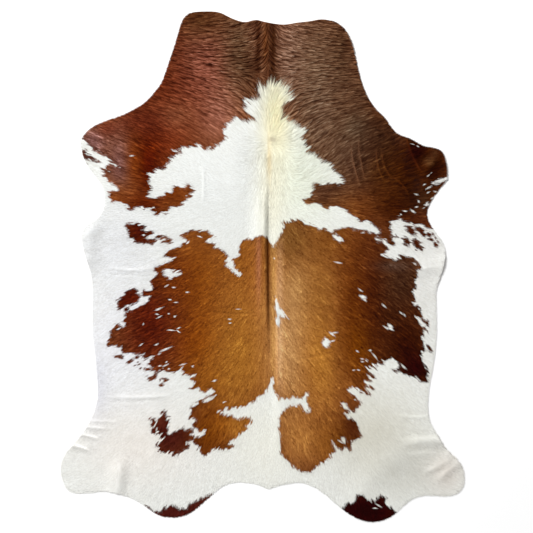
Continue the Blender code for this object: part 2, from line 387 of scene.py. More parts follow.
outline = spaced(cad_edge, OUTLINE_STEP)
for _ in range(SMOOTHINGS):
    outline = 0.25 * np.roll(outline, 1, axis=0) + 0.5 * outline + 0.25 * np.roll(outline, -1, axis=0)
if turning(outline) < 0:
    outline = outline[::-1]
outline_inward = left_of(unit(np.roll(outline, -1, axis=0) - np.roll(outline, 1, axis=0)))


# %% How far inside the outline
def tree_of(points):
    """A tree that finds the nearest of these points fast."""
    tree = kdtree.KDTree(len(points))
    for index, (x, y) in enumerate(points):
        tree.insert((x, y, 0), index)
    tree.balance()
    return tree


outline_tree = tree_of(outline)


def from_edge(points):
    """Distance of each point from the cut edge, positive inside the hide."""
    nearest = np.array([outline_tree.find((x, y, 0))[1] for x, y in points])
    return ((points - outline[nearest]) * outline_inward[nearest]).sum(axis=1)


print("mm from the middle to the cut edge:", np.round(from_edge(np.zeros((1, 2))) / MM))

# %% [markdown]
# ## The lie of the hair
#
# Hair grows in one direction at each place: outward and down towards the tail on the body, and
# nearly straight outward on the neck. At a whorl on the withers it parts, and along the mane
# it grows up towards the neck. The table gives the direction in degrees, from straight outward
# (0) towards the neck (90) or the tail (-90), at six distances from the spine. Both halves of
# the hide mirror each other, so one half is enough, and the values between are interpolated.
# Two places on the left differ from their mirror image, and there the hair is turned by a
# soft ellipse of degrees.

# %% A soft ellipse
def soft_ellipse(points, x, y, across, along):
    """How much of a soft ellipse, given in mm, lies on each point: 1 in its middle."""
    away = ((points[:, 0] / MM - x) / across) ** 2 + ((points[:, 1] / MM - y) / along) ** 2
    return np.exp(-0.5 * away)


print("one reach from its middle:", np.round(soft_ellipse(np.array([[0.1, 0.0]]), 0, 0, 100, 100), 2))

# %% Table of directions
SPINE_X = 23 * MM
FLOW_OUT = np.array([0, 60, 150, 300, 500, 800]) * MM
FLOW = np.array([
    # y, then the direction at each distance from the spine
    [1120, -75, -38, -16, -4, 8, 12],
    [980, -72, -24, -10, -2, 8, 12],
    [860, -55, -8, -2, 2, 10, 10],
    [790, 75, 50, 12, 6, 10, 10],
    [700, 88, 45, 20, 10, 10, 10],
    [600, 88, 50, 38, 25, 20, 20],
    [480, -88, -80, 42, 38, 30, 20],
    [380, -88, -80, 30, 20, 12, 15],
    [250, -88, -72, -25, -15, 0, 10],
    [100, -88, -60, -42, -32, -30, -28],
    [-200, -88, -60, -48, -42, -38, -36],
    [-500, -88, -66, -56, -46, -42, -40],
    [-750, -88, -75, -68, -60, -48, -35],
    [-950, -88, -80, -80, -80, -60, -30],
])[::-1]
FLOW_TURNS = (
    # x, y, reach across, reach along, degrees
    (-450, -280, 160, 300, 16),      # flatter on the left flank
    (-330, 800, 120, 130, 14),       # more towards the neck, on its left
)


def flow_angle(points):
    """Direction of the hair at each point, in radians from +X."""
    out = np.clip(np.abs(points[:, 0] - SPINE_X), 0, FLOW_OUT[-1] - 1e-6)
    rows = FLOW[:, 0] * MM
    up = np.clip(points[:, 1], rows[0], rows[-1] - 1e-6)
    row = np.searchsorted(rows, up, side="right") - 1
    column = np.searchsorted(FLOW_OUT, out, side="right") - 1
    above = (up - rows[row]) / (rows[row + 1] - rows[row])
    beyond = (out - FLOW_OUT[column]) / (FLOW_OUT[column + 1] - FLOW_OUT[column])
    turn = FLOW[:, 1:]
    near = turn[row, column] * (1 - above) + turn[row + 1, column] * above
    far = turn[row, column + 1] * (1 - above) + turn[row + 1, column + 1] * above
    degrees = near * (1 - beyond) + far * beyond
    for x, y, across, along, extra in FLOW_TURNS:
        degrees = degrees + extra * soft_ellipse(points, x, y, across, along)
    angle = np.radians(degrees)
    return np.where(points[:, 0] >= SPINE_X, angle, math.pi - angle)


print("hair on the left flank points to", round(math.degrees(flow_angle(np.array([[-0.5, -0.2]]))[0])))

# %% [markdown]
# ## Where the coat is brown and where it is white
#
# A spotted hide has a few large patches with ragged borders, some islands beside them, and
# small flecks of the other colour. Each brown patch is a closed line of points in millimetres,
# read from the photograph. A flow of noise would give spots, but not these spots.
# Flecks are ellipses: x, y, half length, half width and the angle that they lie at.

# %% The brown patches
NECK_AND_SHOULDERS = (
    # along the right shoulder's lower border, from outside the hide to the bridge to the saddle
    (900, 160), (738, 166), (712, 168), (690, 186), (657, 179), (650, 188), (635, 192), (612, 200),
    (588, 222), (600, 210), (585, 203), (552, 200), (549, 192), (562, 181), (551, 168), (562, 150),
    (552, 134), (578, 133), (587, 125), (570, 122), (563, 113), (573, 98), (570, 86), (560, 88),
    (552, 100), (535, 115), (510, 125), (492, 129), (478, 125), (464, 133), (463, 143), (475, 152),
    (490, 141), (518, 149), (495, 170), (475, 185), (452, 200), (432, 192), (420, 193), (413, 206),
    (405, 215), (388, 227), (372, 230), (357, 243), (337, 254), (332, 262), (292, 259), (287, 248),
    (275, 248), (257, 264), (240, 272), (225, 275), (210, 268), (184, 274), (180, 285), (185, 298),
    (200, 303), (215, 314), (225, 325), (222, 335), (210, 341), (225, 350), (215, 352), (220, 358),
    (235, 364), (250, 358), (268, 358), (290, 368), (320, 365), (328, 355), (335, 362), (350, 362),
    # up the right side of the white cape to the tuft on the neck
    (352, 372), (345, 385), (325, 402), (320, 410), (310, 425), (300, 440), (285, 450), (270, 460),
    (255, 455), (250, 470), (235, 478), (225, 490), (192, 500), (200, 515), (180, 530), (190, 540),
    (172, 550), (165, 565), (182, 578), (190, 590), (180, 600), (160, 605), (150, 615), (135, 628),
    (115, 628), (105, 637), (105, 650), (80, 645), (92, 662), (85, 675), (88, 690), (95, 705),
    (110, 713), (125, 722), (135, 730), (118, 745), (125, 758), (108, 765), (115, 775), (100, 778),
    (85, 792), (75, 803), (62, 796), (50, 806), (35, 803), (20, 795), (10, 772), (-4, 784),
    # down its left side
    (-12, 797), (-16, 782), (-25, 775), (-14, 764), (0, 758), (-8, 750), (0, 745), (-25, 728),
    (-70, 728), (-75, 725), (-62, 713), (-72, 705), (-82, 698), (-82, 688), (-77, 677), (-65, 665),
    (-52, 655), (-30, 647), (-50, 637), (-60, 632), (-92, 632), (-100, 640), (-104, 650),
    (-116, 655), (-125, 639), (-135, 628), (-152, 621), (-165, 612), (-160, 602), (-168, 592),
    (-165, 575), (-155, 560), (-168, 551), (-180, 537), (-190, 528), (-213, 526), (-238, 512),
    (-245, 500), (-260, 503), (-262, 522), (-270, 530), (-290, 533), (-285, 522), (-325, 518),
    (-350, 522), (-358, 510), (-390, 504), (-355, 498), (-362, 487), (-385, 477), (-405, 475),
    (-400, 458), (-412, 449), (-420, 437), (-432, 427), (-455, 422), (-463, 425), (-470, 412),
    (-482, 407), (-500, 403), (-487, 395), (-486, 380), (-492, 365), (-490, 352), (-478, 338),
    (-493, 328), (-494, 313), (-500, 308), (-490, 302), (-465, 300), (-440, 302), (-428, 310),
    (-422, 325), (-400, 325), (-393, 338), (-382, 347), (-368, 347), (-355, 339), (-340, 338),
    (-335, 352), (-328, 363), (-318, 360), (-305, 348), (-312, 338), (-295, 330), (-312, 321),
    (-330, 315), (-310, 308), (-328, 293), (-345, 280), (-358, 268), (-368, 258), (-400, 260),
    (-405, 240), (-420, 229), (-435, 232), (-460, 222), (-477, 222), (-470, 237), (-490, 245),
    # under the left shoulder and foreleg
    (-475, 254), (-515, 252), (-524, 262), (-535, 257), (-556, 257), (-555, 247), (-580, 243),
    (-590, 255), (-583, 262), (-605, 271), (-625, 278), (-650, 280), (-658, 277), (-662, 295),
    (-668, 312), (-660, 325), (-648, 328), (-625, 327), (-630, 340), (-642, 352), (-655, 355),
    (-645, 361), (-670, 368), (-678, 382), (-692, 400), (-675, 404), (-695, 415), (-705, 430),
    (-685, 425), (-662, 412), (-685, 432), (-672, 446), (-660, 450), (-645, 441), (-622, 430),
    (-630, 435), (-650, 450), (-665, 455), (-673, 468), (-695, 485), (-725, 500), (-740, 503),
    (-744, 515), (-755, 530), (-766, 540), (-780, 555), (-900, 600), (-900, 1250), (900, 1250),
)
SADDLE = (
    # along the top, from the left
    (-466, -2), (-447, 5), (-428, 17), (-409, 26), (-397, 30), (-383, 36), (-409, 36), (-427, 42),
    (-422, 54), (-412, 69), (-408, 76), (-375, 82), (-347, 98), (-327, 104), (-338, 122),
    (-358, 130), (-350, 143), (-320, 152), (-300, 158), (-270, 155), (-250, 160), (-235, 150),
    (-220, 140), (-215, 130), (-235, 118), (-250, 109), (-225, 102), (-207, 98), (-215, 85),
    (-222, 76), (-200, 80), (-178, 74), (-160, 57), (-151, 47), (-152, 36), (-165, 26), (-148, 18),
    (-165, 4), (-145, 0), (-135, -15), (-120, -32), (-103, -42), (-96, -32), (-108, -18),
    (-122, -5), (-130, 2), (-123, 9), (-132, 13), (-125, 20), (-137, 31), (-115, 40), (-101, 50),
    (-105, 72), (-100, 92), (-87, 113), (-75, 120), (-45, 119), (-25, 130), (0, 134), (18, 125),
    (35, 100), (47, 76), (53, 95), (68, 125), (85, 150), (92, 172), (88, 188), (94, 199),
    (102, 190), (145, 203), (157, 206), (178, 199), (186, 187), (205, 185), (215, 178), (235, 174),
    (242, 158), (252, 163), (272, 165), (290, 150), (300, 150), (312, 138), (330, 128), (346, 122),
    (348, 113), (335, 110), (320, 117), (308, 130), (305, 152), (340, 168), (380, 172), (400, 160),
    (430, 158), (450, 159), (462, 150), (468, 132), (482, 124), (487, 113), (515, 108),
    # down the right flank
    (530, 95), (548, 80), (550, 72), (528, 70), (533, 58), (512, 50), (535, 43), (575, 32),
    (600, 34), (588, 58), (605, 52), (635, 38), (650, 48), (656, 40), (667, 28), (678, 13),
    (686, -4), (680, -20), (670, -20), (673, -35), (663, -57), (665, -77), (669, -94), (658, -105),
    (660, -130), (660, -151), (652, -158), (665, -171), (674, -165), (682, -182), (691, -200),
    (698, -222), (709, -235), (715, -228), (722, -244), (726, -266), (711, -261), (704, -252),
    (709, -270), (720, -288), (702, -280), (702, -305), (691, -305), (700, -327), (698, -340),
    (706, -365), (702, -371), (689, -376), (693, -393), (698, -415), (709, -433), (717, -448),
    (724, -463), (713, -470), (717, -485), (715, -503), (700, -501), (693, -507), (680, -501),
    (669, -488), (656, -477), (638, -479), (625, -470), (608, -465), (590, -459), (583, -466),
    (575, -459), (562, -450), (573, -446), (594, -446), (586, -437), (594, -429), (586, -419),
    (577, -413), (566, -404), (551, -402), (540, -411), (526, -408), (520, -415), (526, -424),
    (515, -428), (502, -415), (493, -419), (502, -437), (500, -450), (487, -441), (480, -428),
    (467, -419), (452, -406), (470, -426), (478, -437), (445, -437), (468, -462), (487, -479),
    (480, -490), (463, -474), (449, -463), (462, -484), (478, -500), (441, -498), (455, -512),
    (482, -529), (478, -536), (463, -525), (441, -517), (450, -532), (467, -555), (454, -562),
    (445, -547), (428, -547), (421, -538), (414, -531), (398, -525), (384, -526), (374, -538),
    # the right hip
    (392, -556), (410, -566), (399, -577), (425, -579), (430, -586), (426, -600), (416, -612),
    (401, -615), (404, -632), (394, -632), (384, -626), (372, -613), (362, -603), (370, -595),
    (352, -594), (344, -604), (354, -612), (367, -620), (376, -634), (374, -644), (355, -640),
    (364, -651), (369, -666), (374, -657), (385, -651), (394, -663), (406, -678), (411, -693),
    (421, -706), (416, -710), (425, -722), (431, -733), (425, -745), (408, -750), (392, -757),
    (387, -767), (382, -787), (391, -800), (377, -797), (371, -790), (361, -784), (350, -787),
    (350, -797), (334, -796), (324, -792), (314, -780), (305, -764), (300, -743), (301, -762),
    (308, -780), (316, -798), (307, -807), (295, -819), (302, -829), (286, -836), (273, -846),
    (249, -855), (233, -870), (219, -883), (209, -891), (192, -890), (182, -894), (172, -894),
    (158, -890), (145, -880), (132, -865), (115, -851), (98, -834), (81, -819), (76, -807),
    (76, -780), (74, -747), (76, -723), (69, -696), (71, -659), (78, -642), (86, -629), (98, -619),
    (115, -605), (132, -599), (148, -599), (164, -602), (172, -612), (179, -619), (185, -629),
    (196, -631), (204, -637), (206, -626), (201, -612), (196, -595), (191, -585), (192, -572),
    (197, -562), (199, -546), (192, -545), (187, -555), (182, -563), (169, -572), (155, -575),
    (142, -570), (132, -563), (130, -572), (125, -580), (115, -575), (88, -573), (74, -577),
    (68, -568), (61, -550), (52, -538), (47, -521), (46, -488), (42, -476), (33, -496), (28, -516),
    # the left hip
    (23, -536), (13, -546), (5, -552), (-7, -561), (-24, -568), (-32, -579), (-39, -588),
    (-58, -598), (-73, -605), (-92, -611), (-110, -617), (-122, -609), (-137, -616), (-146, -626),
    (-154, -624), (-157, -613), (-171, -626), (-197, -631), (-186, -637), (-163, -645),
    (-137, -646), (-126, -652), (-118, -661), (-103, -663), (-92, -658), (-73, -652), (-56, -658),
    (-52, -674), (-67, -688), (-71, -697), (-65, -703), (-73, -714), (-92, -725), (-107, -738),
    (-122, -748), (-133, -749), (-135, -756), (-148, -771), (-135, -773), (-122, -776),
    (-127, -786), (-148, -793), (-174, -797), (-193, -790), (-208, -789), (-223, -800),
    (-238, -812), (-257, -819), (-268, -812), (-274, -797), (-289, -797), (-276, -782),
    (-281, -772), (-295, -772), (-306, -762), (-300, -748), (-276, -737), (-253, -725),
    (-236, -706), (-257, -714), (-274, -720), (-283, -707), (-298, -701), (-306, -684),
    (-296, -676), (-291, -669), (-300, -661), (-313, -661), (-325, -658), (-323, -646),
    (-315, -631), (-319, -609), (-302, -603), (-280, -595), (-297, -590), (-283, -581),
    (-266, -571), (-253, -573), (-260, -586), (-250, -584), (-236, -585), (-228, -577),
    (-212, -568), (-197, -556), (-207, -560), (-225, -568), (-242, -567), (-238, -560),
    # up the left flank
    (-222, -552), (-208, -546), (-219, -534), (-225, -525), (-234, -537), (-248, -551),
    (-261, -549), (-274, -543), (-278, -530), (-298, -536), (-321, -529), (-310, -525),
    (-300, -516), (-291, -508), (-293, -501), (-310, -498), (-310, -490), (-317, -481),
    (-304, -478), (-295, -471), (-323, -472), (-336, -471), (-347, -465), (-347, -454),
    (-357, -450), (-372, -456), (-387, -463), (-409, -463), (-413, -458), (-428, -454),
    (-435, -450), (-454, -458), (-465, -461), (-475, -469), (-480, -461), (-473, -454),
    (-484, -450), (-503, -450), (-519, -446), (-514, -440), (-497, -442), (-484, -445),
    (-480, -435), (-492, -428), (-503, -424), (-499, -416), (-488, -405), (-473, -388),
    (-480, -392), (-494, -396), (-503, -401), (-514, -407), (-524, -396), (-522, -386),
    (-507, -377), (-514, -373), (-525, -379), (-540, -382), (-557, -383), (-565, -379),
    (-576, -373), (-586, -377), (-593, -371), (-610, -375), (-614, -368), (-612, -353),
    (-629, -350), (-638, -343), (-653, -344), (-674, -347), (-680, -334), (-674, -326),
    (-668, -304), (-657, -275), (-649, -264), (-640, -252), (-633, -246), (-616, -254),
    (-604, -262), (-597, -254), (-606, -239), (-601, -222), (-599, -209), (-593, -198),
    (-582, -194), (-572, -189), (-556, -183), (-540, -175), (-529, -168), (-514, -162),
    (-503, -157), (-496, -149), (-499, -140), (-490, -130), (-503, -130), (-520, -134),
    (-526, -128), (-522, -119), (-528, -110), (-522, -101), (-514, -95), (-511, -100),
    (-499, -110), (-488, -108), (-481, -100), (-483, -80), (-488, -70), (-481, -49), (-466, -33),
    (-462, -23), (-471, -19), (-476, -6),
)
ISLANDS = (
    # left flank, beside the saddle
    ((-633, -151), (-625, -147), (-617, -143), (-610, -128), (-599, -112), (-586, -102), (-574, -95),
     (-556, -90), (-546, -98), (-544, -110), (-533, -119), (-529, -125), (-531, -136), (-540, -143),
     (-556, -157), (-567, -164), (-576, -162), (-593, -168), (-604, -175), (-619, -187),
     (-627, -192), (-633, -181), (-628, -165)),
    ((-512, -480), (-501, -473), (-484, -476), (-465, -465), (-454, -471), (-463, -486),
     (-477, -491), (-480, -500), (-495, -491)),
    # lower left
    ((-492, -661), (-486, -656), (-471, -660), (-458, -661), (-447, -652), (-433, -646),
     (-443, -639), (-445, -633), (-433, -626), (-424, -622), (-420, -633), (-424, -646),
     (-418, -658), (-413, -665), (-402, -667), (-400, -676), (-411, -688), (-412, -710),
     (-411, -722), (-403, -722), (-403, -729), (-394, -725), (-373, -714), (-355, -703),
     (-341, -699), (-336, -710), (-317, -701), (-302, -706), (-298, -718), (-317, -729),
     (-300, -733), (-294, -747), (-288, -760), (-303, -766), (-313, -759), (-328, -765),
     (-313, -774), (-321, -793), (-328, -798), (-341, -795), (-362, -808), (-373, -819),
     (-392, -823), (-394, -815), (-388, -810), (-400, -810), (-411, -806), (-422, -810),
     (-449, -806), (-454, -798), (-450, -789), (-462, -778), (-456, -765), (-443, -755),
     (-447, -744), (-443, -731), (-434, -727), (-443, -725), (-456, -720), (-464, -725),
     (-480, -729), (-484, -722), (-482, -706), (-480, -684), (-486, -671)),
    # two islands under the left shoulder
    ((-597, 185), (-570, 190), (-565, 182), (-548, 192), (-535, 188), (-537, 180), (-508, 178),
     (-515, 168), (-530, 158), (-500, 152), (-480, 155), (-470, 148), (-485, 140), (-495, 131),
     (-515, 126), (-498, 122), (-480, 122), (-463, 121), (-465, 108), (-480, 99), (-505, 98),
     (-530, 105), (-545, 98), (-563, 105), (-557, 118), (-585, 128), (-580, 140), (-588, 155),
     (-600, 178)),
    ((-465, 125), (-445, 133), (-420, 132), (-400, 121), (-382, 117), (-392, 106), (-402, 98),
     (-425, 103), (-438, 105), (-432, 112), (-442, 121)),
    # right flank
    ((650, 112), (662, 128), (680, 112), (690, 105), (681, 92), (700, 72), (690, 64), (678, 75),
     (668, 72), (656, 90)),
    # along the bottom edge, left and right
    ((-515, -1040), (-498, -1046), (-480, -1057), (-461, -1067), (-439, -1061), (-428, -1047),
     (-413, -1043), (-402, -1032), (-379, -1036), (-364, -1050), (-331, -1050), (-320, -1028),
     (-301, -1021), (-271, -1010), (-242, -995), (-200, -982), (-150, -1200), (-600, -1200)),
    ((330, -1050), (342, -1047), (357, -1032), (383, -1024), (405, -1013), (405, -995),
     (420, -991), (435, -987), (443, -1002), (465, -1013), (487, -1020), (498, -1003), (512, -995),
     (528, -998), (536, -1012), (530, -1028), (547, -1036), (569, -1054), (590, -1075),
     (590, -1200), (300, -1200)),
)
print("brown patches:", 2 + len(ISLANDS), "with", len(NECK_AND_SHOULDERS) + len(SADDLE), "points")

# %% Small brown spots and white flecks
BROWN_SPOTS = (
    # right flank and foreleg
    (645, 155, 26, 13, -40), (624, 108, 22, 13, -65), (688, 155, 22, 9, -55), (668, 165, 15, 7, -40),
    (700, 138, 10, 8, 0), (720, 140, 14, 8, -45), (730, 118, 10, 6, 0), (740, 140, 12, 5, -55),
    (750, 125, 10, 5, -60), (750, 95, 12, 7, -50), (760, 108, 11, 5, -45), (722, -352, 17, 8, -55),
    (650, 5, 12, 5, -30), (714, -280, 12, 3, -60),
    # left shoulder, foreleg and flank
    (-220, 516, 14, 6, 30), (-712, 457, 16, 5, -25), (-772, 484, 23, 8, -74), (-763, 506, 15, 4, -36),
    (-745, 474, 24, 8, -26), (-757, 462, 14, 4, -20), (-623, -391, 20, 8, -5),
    (-578, -412, 13, 8, 35), (-545, -394, 10, 7, 20), (-555, -428, 9, 4, 40), (-536, -423, 11, 3, 30),
    (-530, -440, 8, 4, 40), (-541, -413, 6, 3, 20), (-592, -186, 11, 7, 45), (-440, -515, 12, 6, -10),
    (-436, -484, 10, 4, 20), (-424, -492, 8, 6, -30), (-445, -491, 7, 5, 60), (-406, -650, 6, 4, 20),
    (-505, -1036, 12, 3, -20), (-248, -543, 9, 3, 35),
)
WHITE_FLECKS = (
    # saddle, near the spine and on its right side
    (50, 36, 5, 3, 90), (-272, 130, 12, 3, -20), (325, 18, 20, 4, -8), (435, 148, 10, 4, 0),
    (64, -190, 34, 6, -83), (66, -236, 26, 9, -92), (80, -202, 26, 8, -48), (275, -333, 18, 14, -60),
    (303, -322, 16, 4, 12), (301, -293, 22, 5, -42), (312, -286, 14, 4, 0), (425, -103, 15, 4, -32),
    (432, -130, 14, 6, -10), (444, -145, 13, 5, -40), (524, -168, 14, 4, -42), (603, -203, 13, 4, -35),
    (616, -211, 9, 4, -50), (538, -266, 20, 5, -38), (557, -262, 12, 7, -60), (682, -236, 16, 7, -60),
    (696, -252, 14, 7, -40), (712, -264, 8, 5, -60), (409, -366, 9, 4, -25), (431, -400, 8, 3, -10),
    (434, -412, 9, 4, -8), (466, -363, 8, 5, 0), (485, -386, 22, 4, -50), (395, -449, 7, 4, -10),
    (415, -448, 9, 3, -10), (612, -435, 18, 5, -42), (335, -757, 16, 4, -30), (352, -753, 11, 7, -70),
    (505, -1037, 17, 4, -30), (485, -1047, 12, 4, 0), (690, -12, 9, 4, 0), (660, 12, 10, 4, -40),
    # right foreleg
    (718, 395, 13, 4, 32), (730, 406, 6, 2, 30), (671, 522, 8, 3, -45), (650, 530, 9, 2, -10),
    (768, 371, 26, 8, 17), (745, 362, 17, 6, -5), (789, 379, 12, 6, 32), (718, 341, 18, 5, 32),
    (667, 313, 10, 4, -10), (716, 321, 9, 4, 30), (749, 325, 9, 4, -10), (676, 283, 7, 5, -40),
    (712, 272, 9, 6, 40), (736, 298, 8, 3, 35), (667, 259, 8, 4, 15), (699, 255, 7, 2, 20),
    (616, 241, 12, 3, -5), (652, 240, 18, 5, -32), (600, 226, 7, 3, -40), (700, 356, 8, 3, 30),
    # left shoulder and flank
    (-568, 480, 10, 4, 0), (-515, 137, 8, 5, 0), (-409, -26, 24, 18, -10), (-374, -34, 18, 8, 12),
    (-397, -46, 16, 6, 40), (-416, -82, 16, 4, 38), (-385, -90, 10, 3, 0), (-327, -111, 10, 4, -5),
    (-404, -143, 8, 3, 0), (-378, -155, 10, 3, 10), (-452, -184, 22, 5, 17), (-380, -216, 7, 5, 0),
    (-408, -204, 5, 3, 0), (-448, -218, 12, 4, 20), (-460, -206, 8, 4, 0), (-517, -248, 7, 4, 60),
    (-396, -275, 22, 4, 0), (-368, -268, 12, 3, 30), (-366, -281, 12, 3, -30), (-626, -270, 14, 3, 25),
    (-527, -338, 12, 4, 25), (-461, -338, 12, 4, 25), (-420, -358, 28, 5, 20), (-447, -377, 10, 4, 35),
    (-487, -392, 16, 5, 20), (-347, -424, 15, 4, 20), (-352, -440, 11, 4, 40), (-304, -432, 6, 5, 0),
    (-420, -427, 16, 4, 25), (-446, -430, 10, 3, 10), (-407, -443, 8, 3, 15), (-417, -413, 9, 3, 30),
    (-209, -495, 10, 5, 15), (-142, -228, 10, 4, -8), (-141, -245, 7, 3, 0), (-106, -184, 10, 2, 0),
    (-220, -572, 22, 5, 30), (-168, -588, 9, 3, 10), (-470, -692, 17, 3, 62), (-461, -675, 12, 3, 60),
    (-428, -742, 22, 3, 45), (-460, -705, 10, 4, 70), (-318, -762, 14, 6, 15),
)
print("brown spots:", len(BROWN_SPOTS), "white flecks:", len(WHITE_FLECKS))


# %% How deep a point is in the brown
def depth_in_patch(points, patch):
    """Distance to a closed line, in metres, positive inside it."""
    line = np.array(patch, dtype=float) * MM
    reach = 40 * MM
    near = ((points > line.min(axis=0) - reach) & (points < line.max(axis=0) + reach)).all(axis=1)
    spot = points[near]
    nearest = np.full(len(spot), 1.0)
    inside = np.zeros(len(spot), dtype=bool)
    for (ax, ay), (bx, by) in zip(line, np.roll(line, -1, axis=0)):
        dx, dy = spot[:, 0] - ax, spot[:, 1] - ay
        length = (bx - ax) ** 2 + (by - ay) ** 2
        share = np.clip((dx * (bx - ax) + dy * (by - ay)) / length, 0, 1)
        away = (dx - share * (bx - ax)) ** 2 + (dy - share * (by - ay)) ** 2
        nearest = np.minimum(nearest, away)
        if ay != by:
            crosses = (spot[:, 1] < ay) != (spot[:, 1] < by)
            inside ^= crosses & (dx < (bx - ax) * dy / (by - ay))
    depth = np.full(len(points), -reach)
    depth[near] = np.sqrt(nearest) * np.where(inside, 1, -1)
    return depth


def depth_in_spot(points, spot):
    """Rough distance to an ellipse, in metres, positive inside it."""
    x, y, long, wide, degrees = spot
    turn = math.radians(degrees)
    dx, dy = points[:, 0] - x * MM, points[:, 1] - y * MM
    along = (dx * math.cos(turn) + dy * math.sin(turn)) / (long * MM)
    across = (dy * math.cos(turn) - dx * math.sin(turn)) / (wide * MM)
    return (1 - np.hypot(along, across)) * wide * MM


BROAD_MARK = 6               # from this half width in mm a mark also colours the coat's own locks


def depth_of_brown(points):
    """How far each point lies inside the brown of the coat, negative in the white."""
    depth = np.full(len(points), -1.0)
    for patch in (NECK_AND_SHOULDERS, SADDLE, *ISLANDS):
        depth = np.maximum(depth, depth_in_patch(points, patch))
    for spot in BROWN_SPOTS:
        if spot[3] >= BROAD_MARK:
            depth = np.maximum(depth, depth_in_spot(points, spot))
    for fleck in WHITE_FLECKS:
        if fleck[3] >= BROAD_MARK:
            depth = np.minimum(depth, -depth_in_spot(points, fleck))
    return depth


cells = np.column_stack([side.ravel() for side in np.meshgrid(cell_x, cell_y)])
depth_grid = depth_of_brown(cells).reshape(height.shape)


def brown_depth(points):
    """The same depth, read from the grid of cells."""
    return read_grid(depth_grid, points)


print("brown on the spine, white on the hip:", brown_depth(np.array([[0.1, 0.0], [0.5, -0.8]])) > 0)
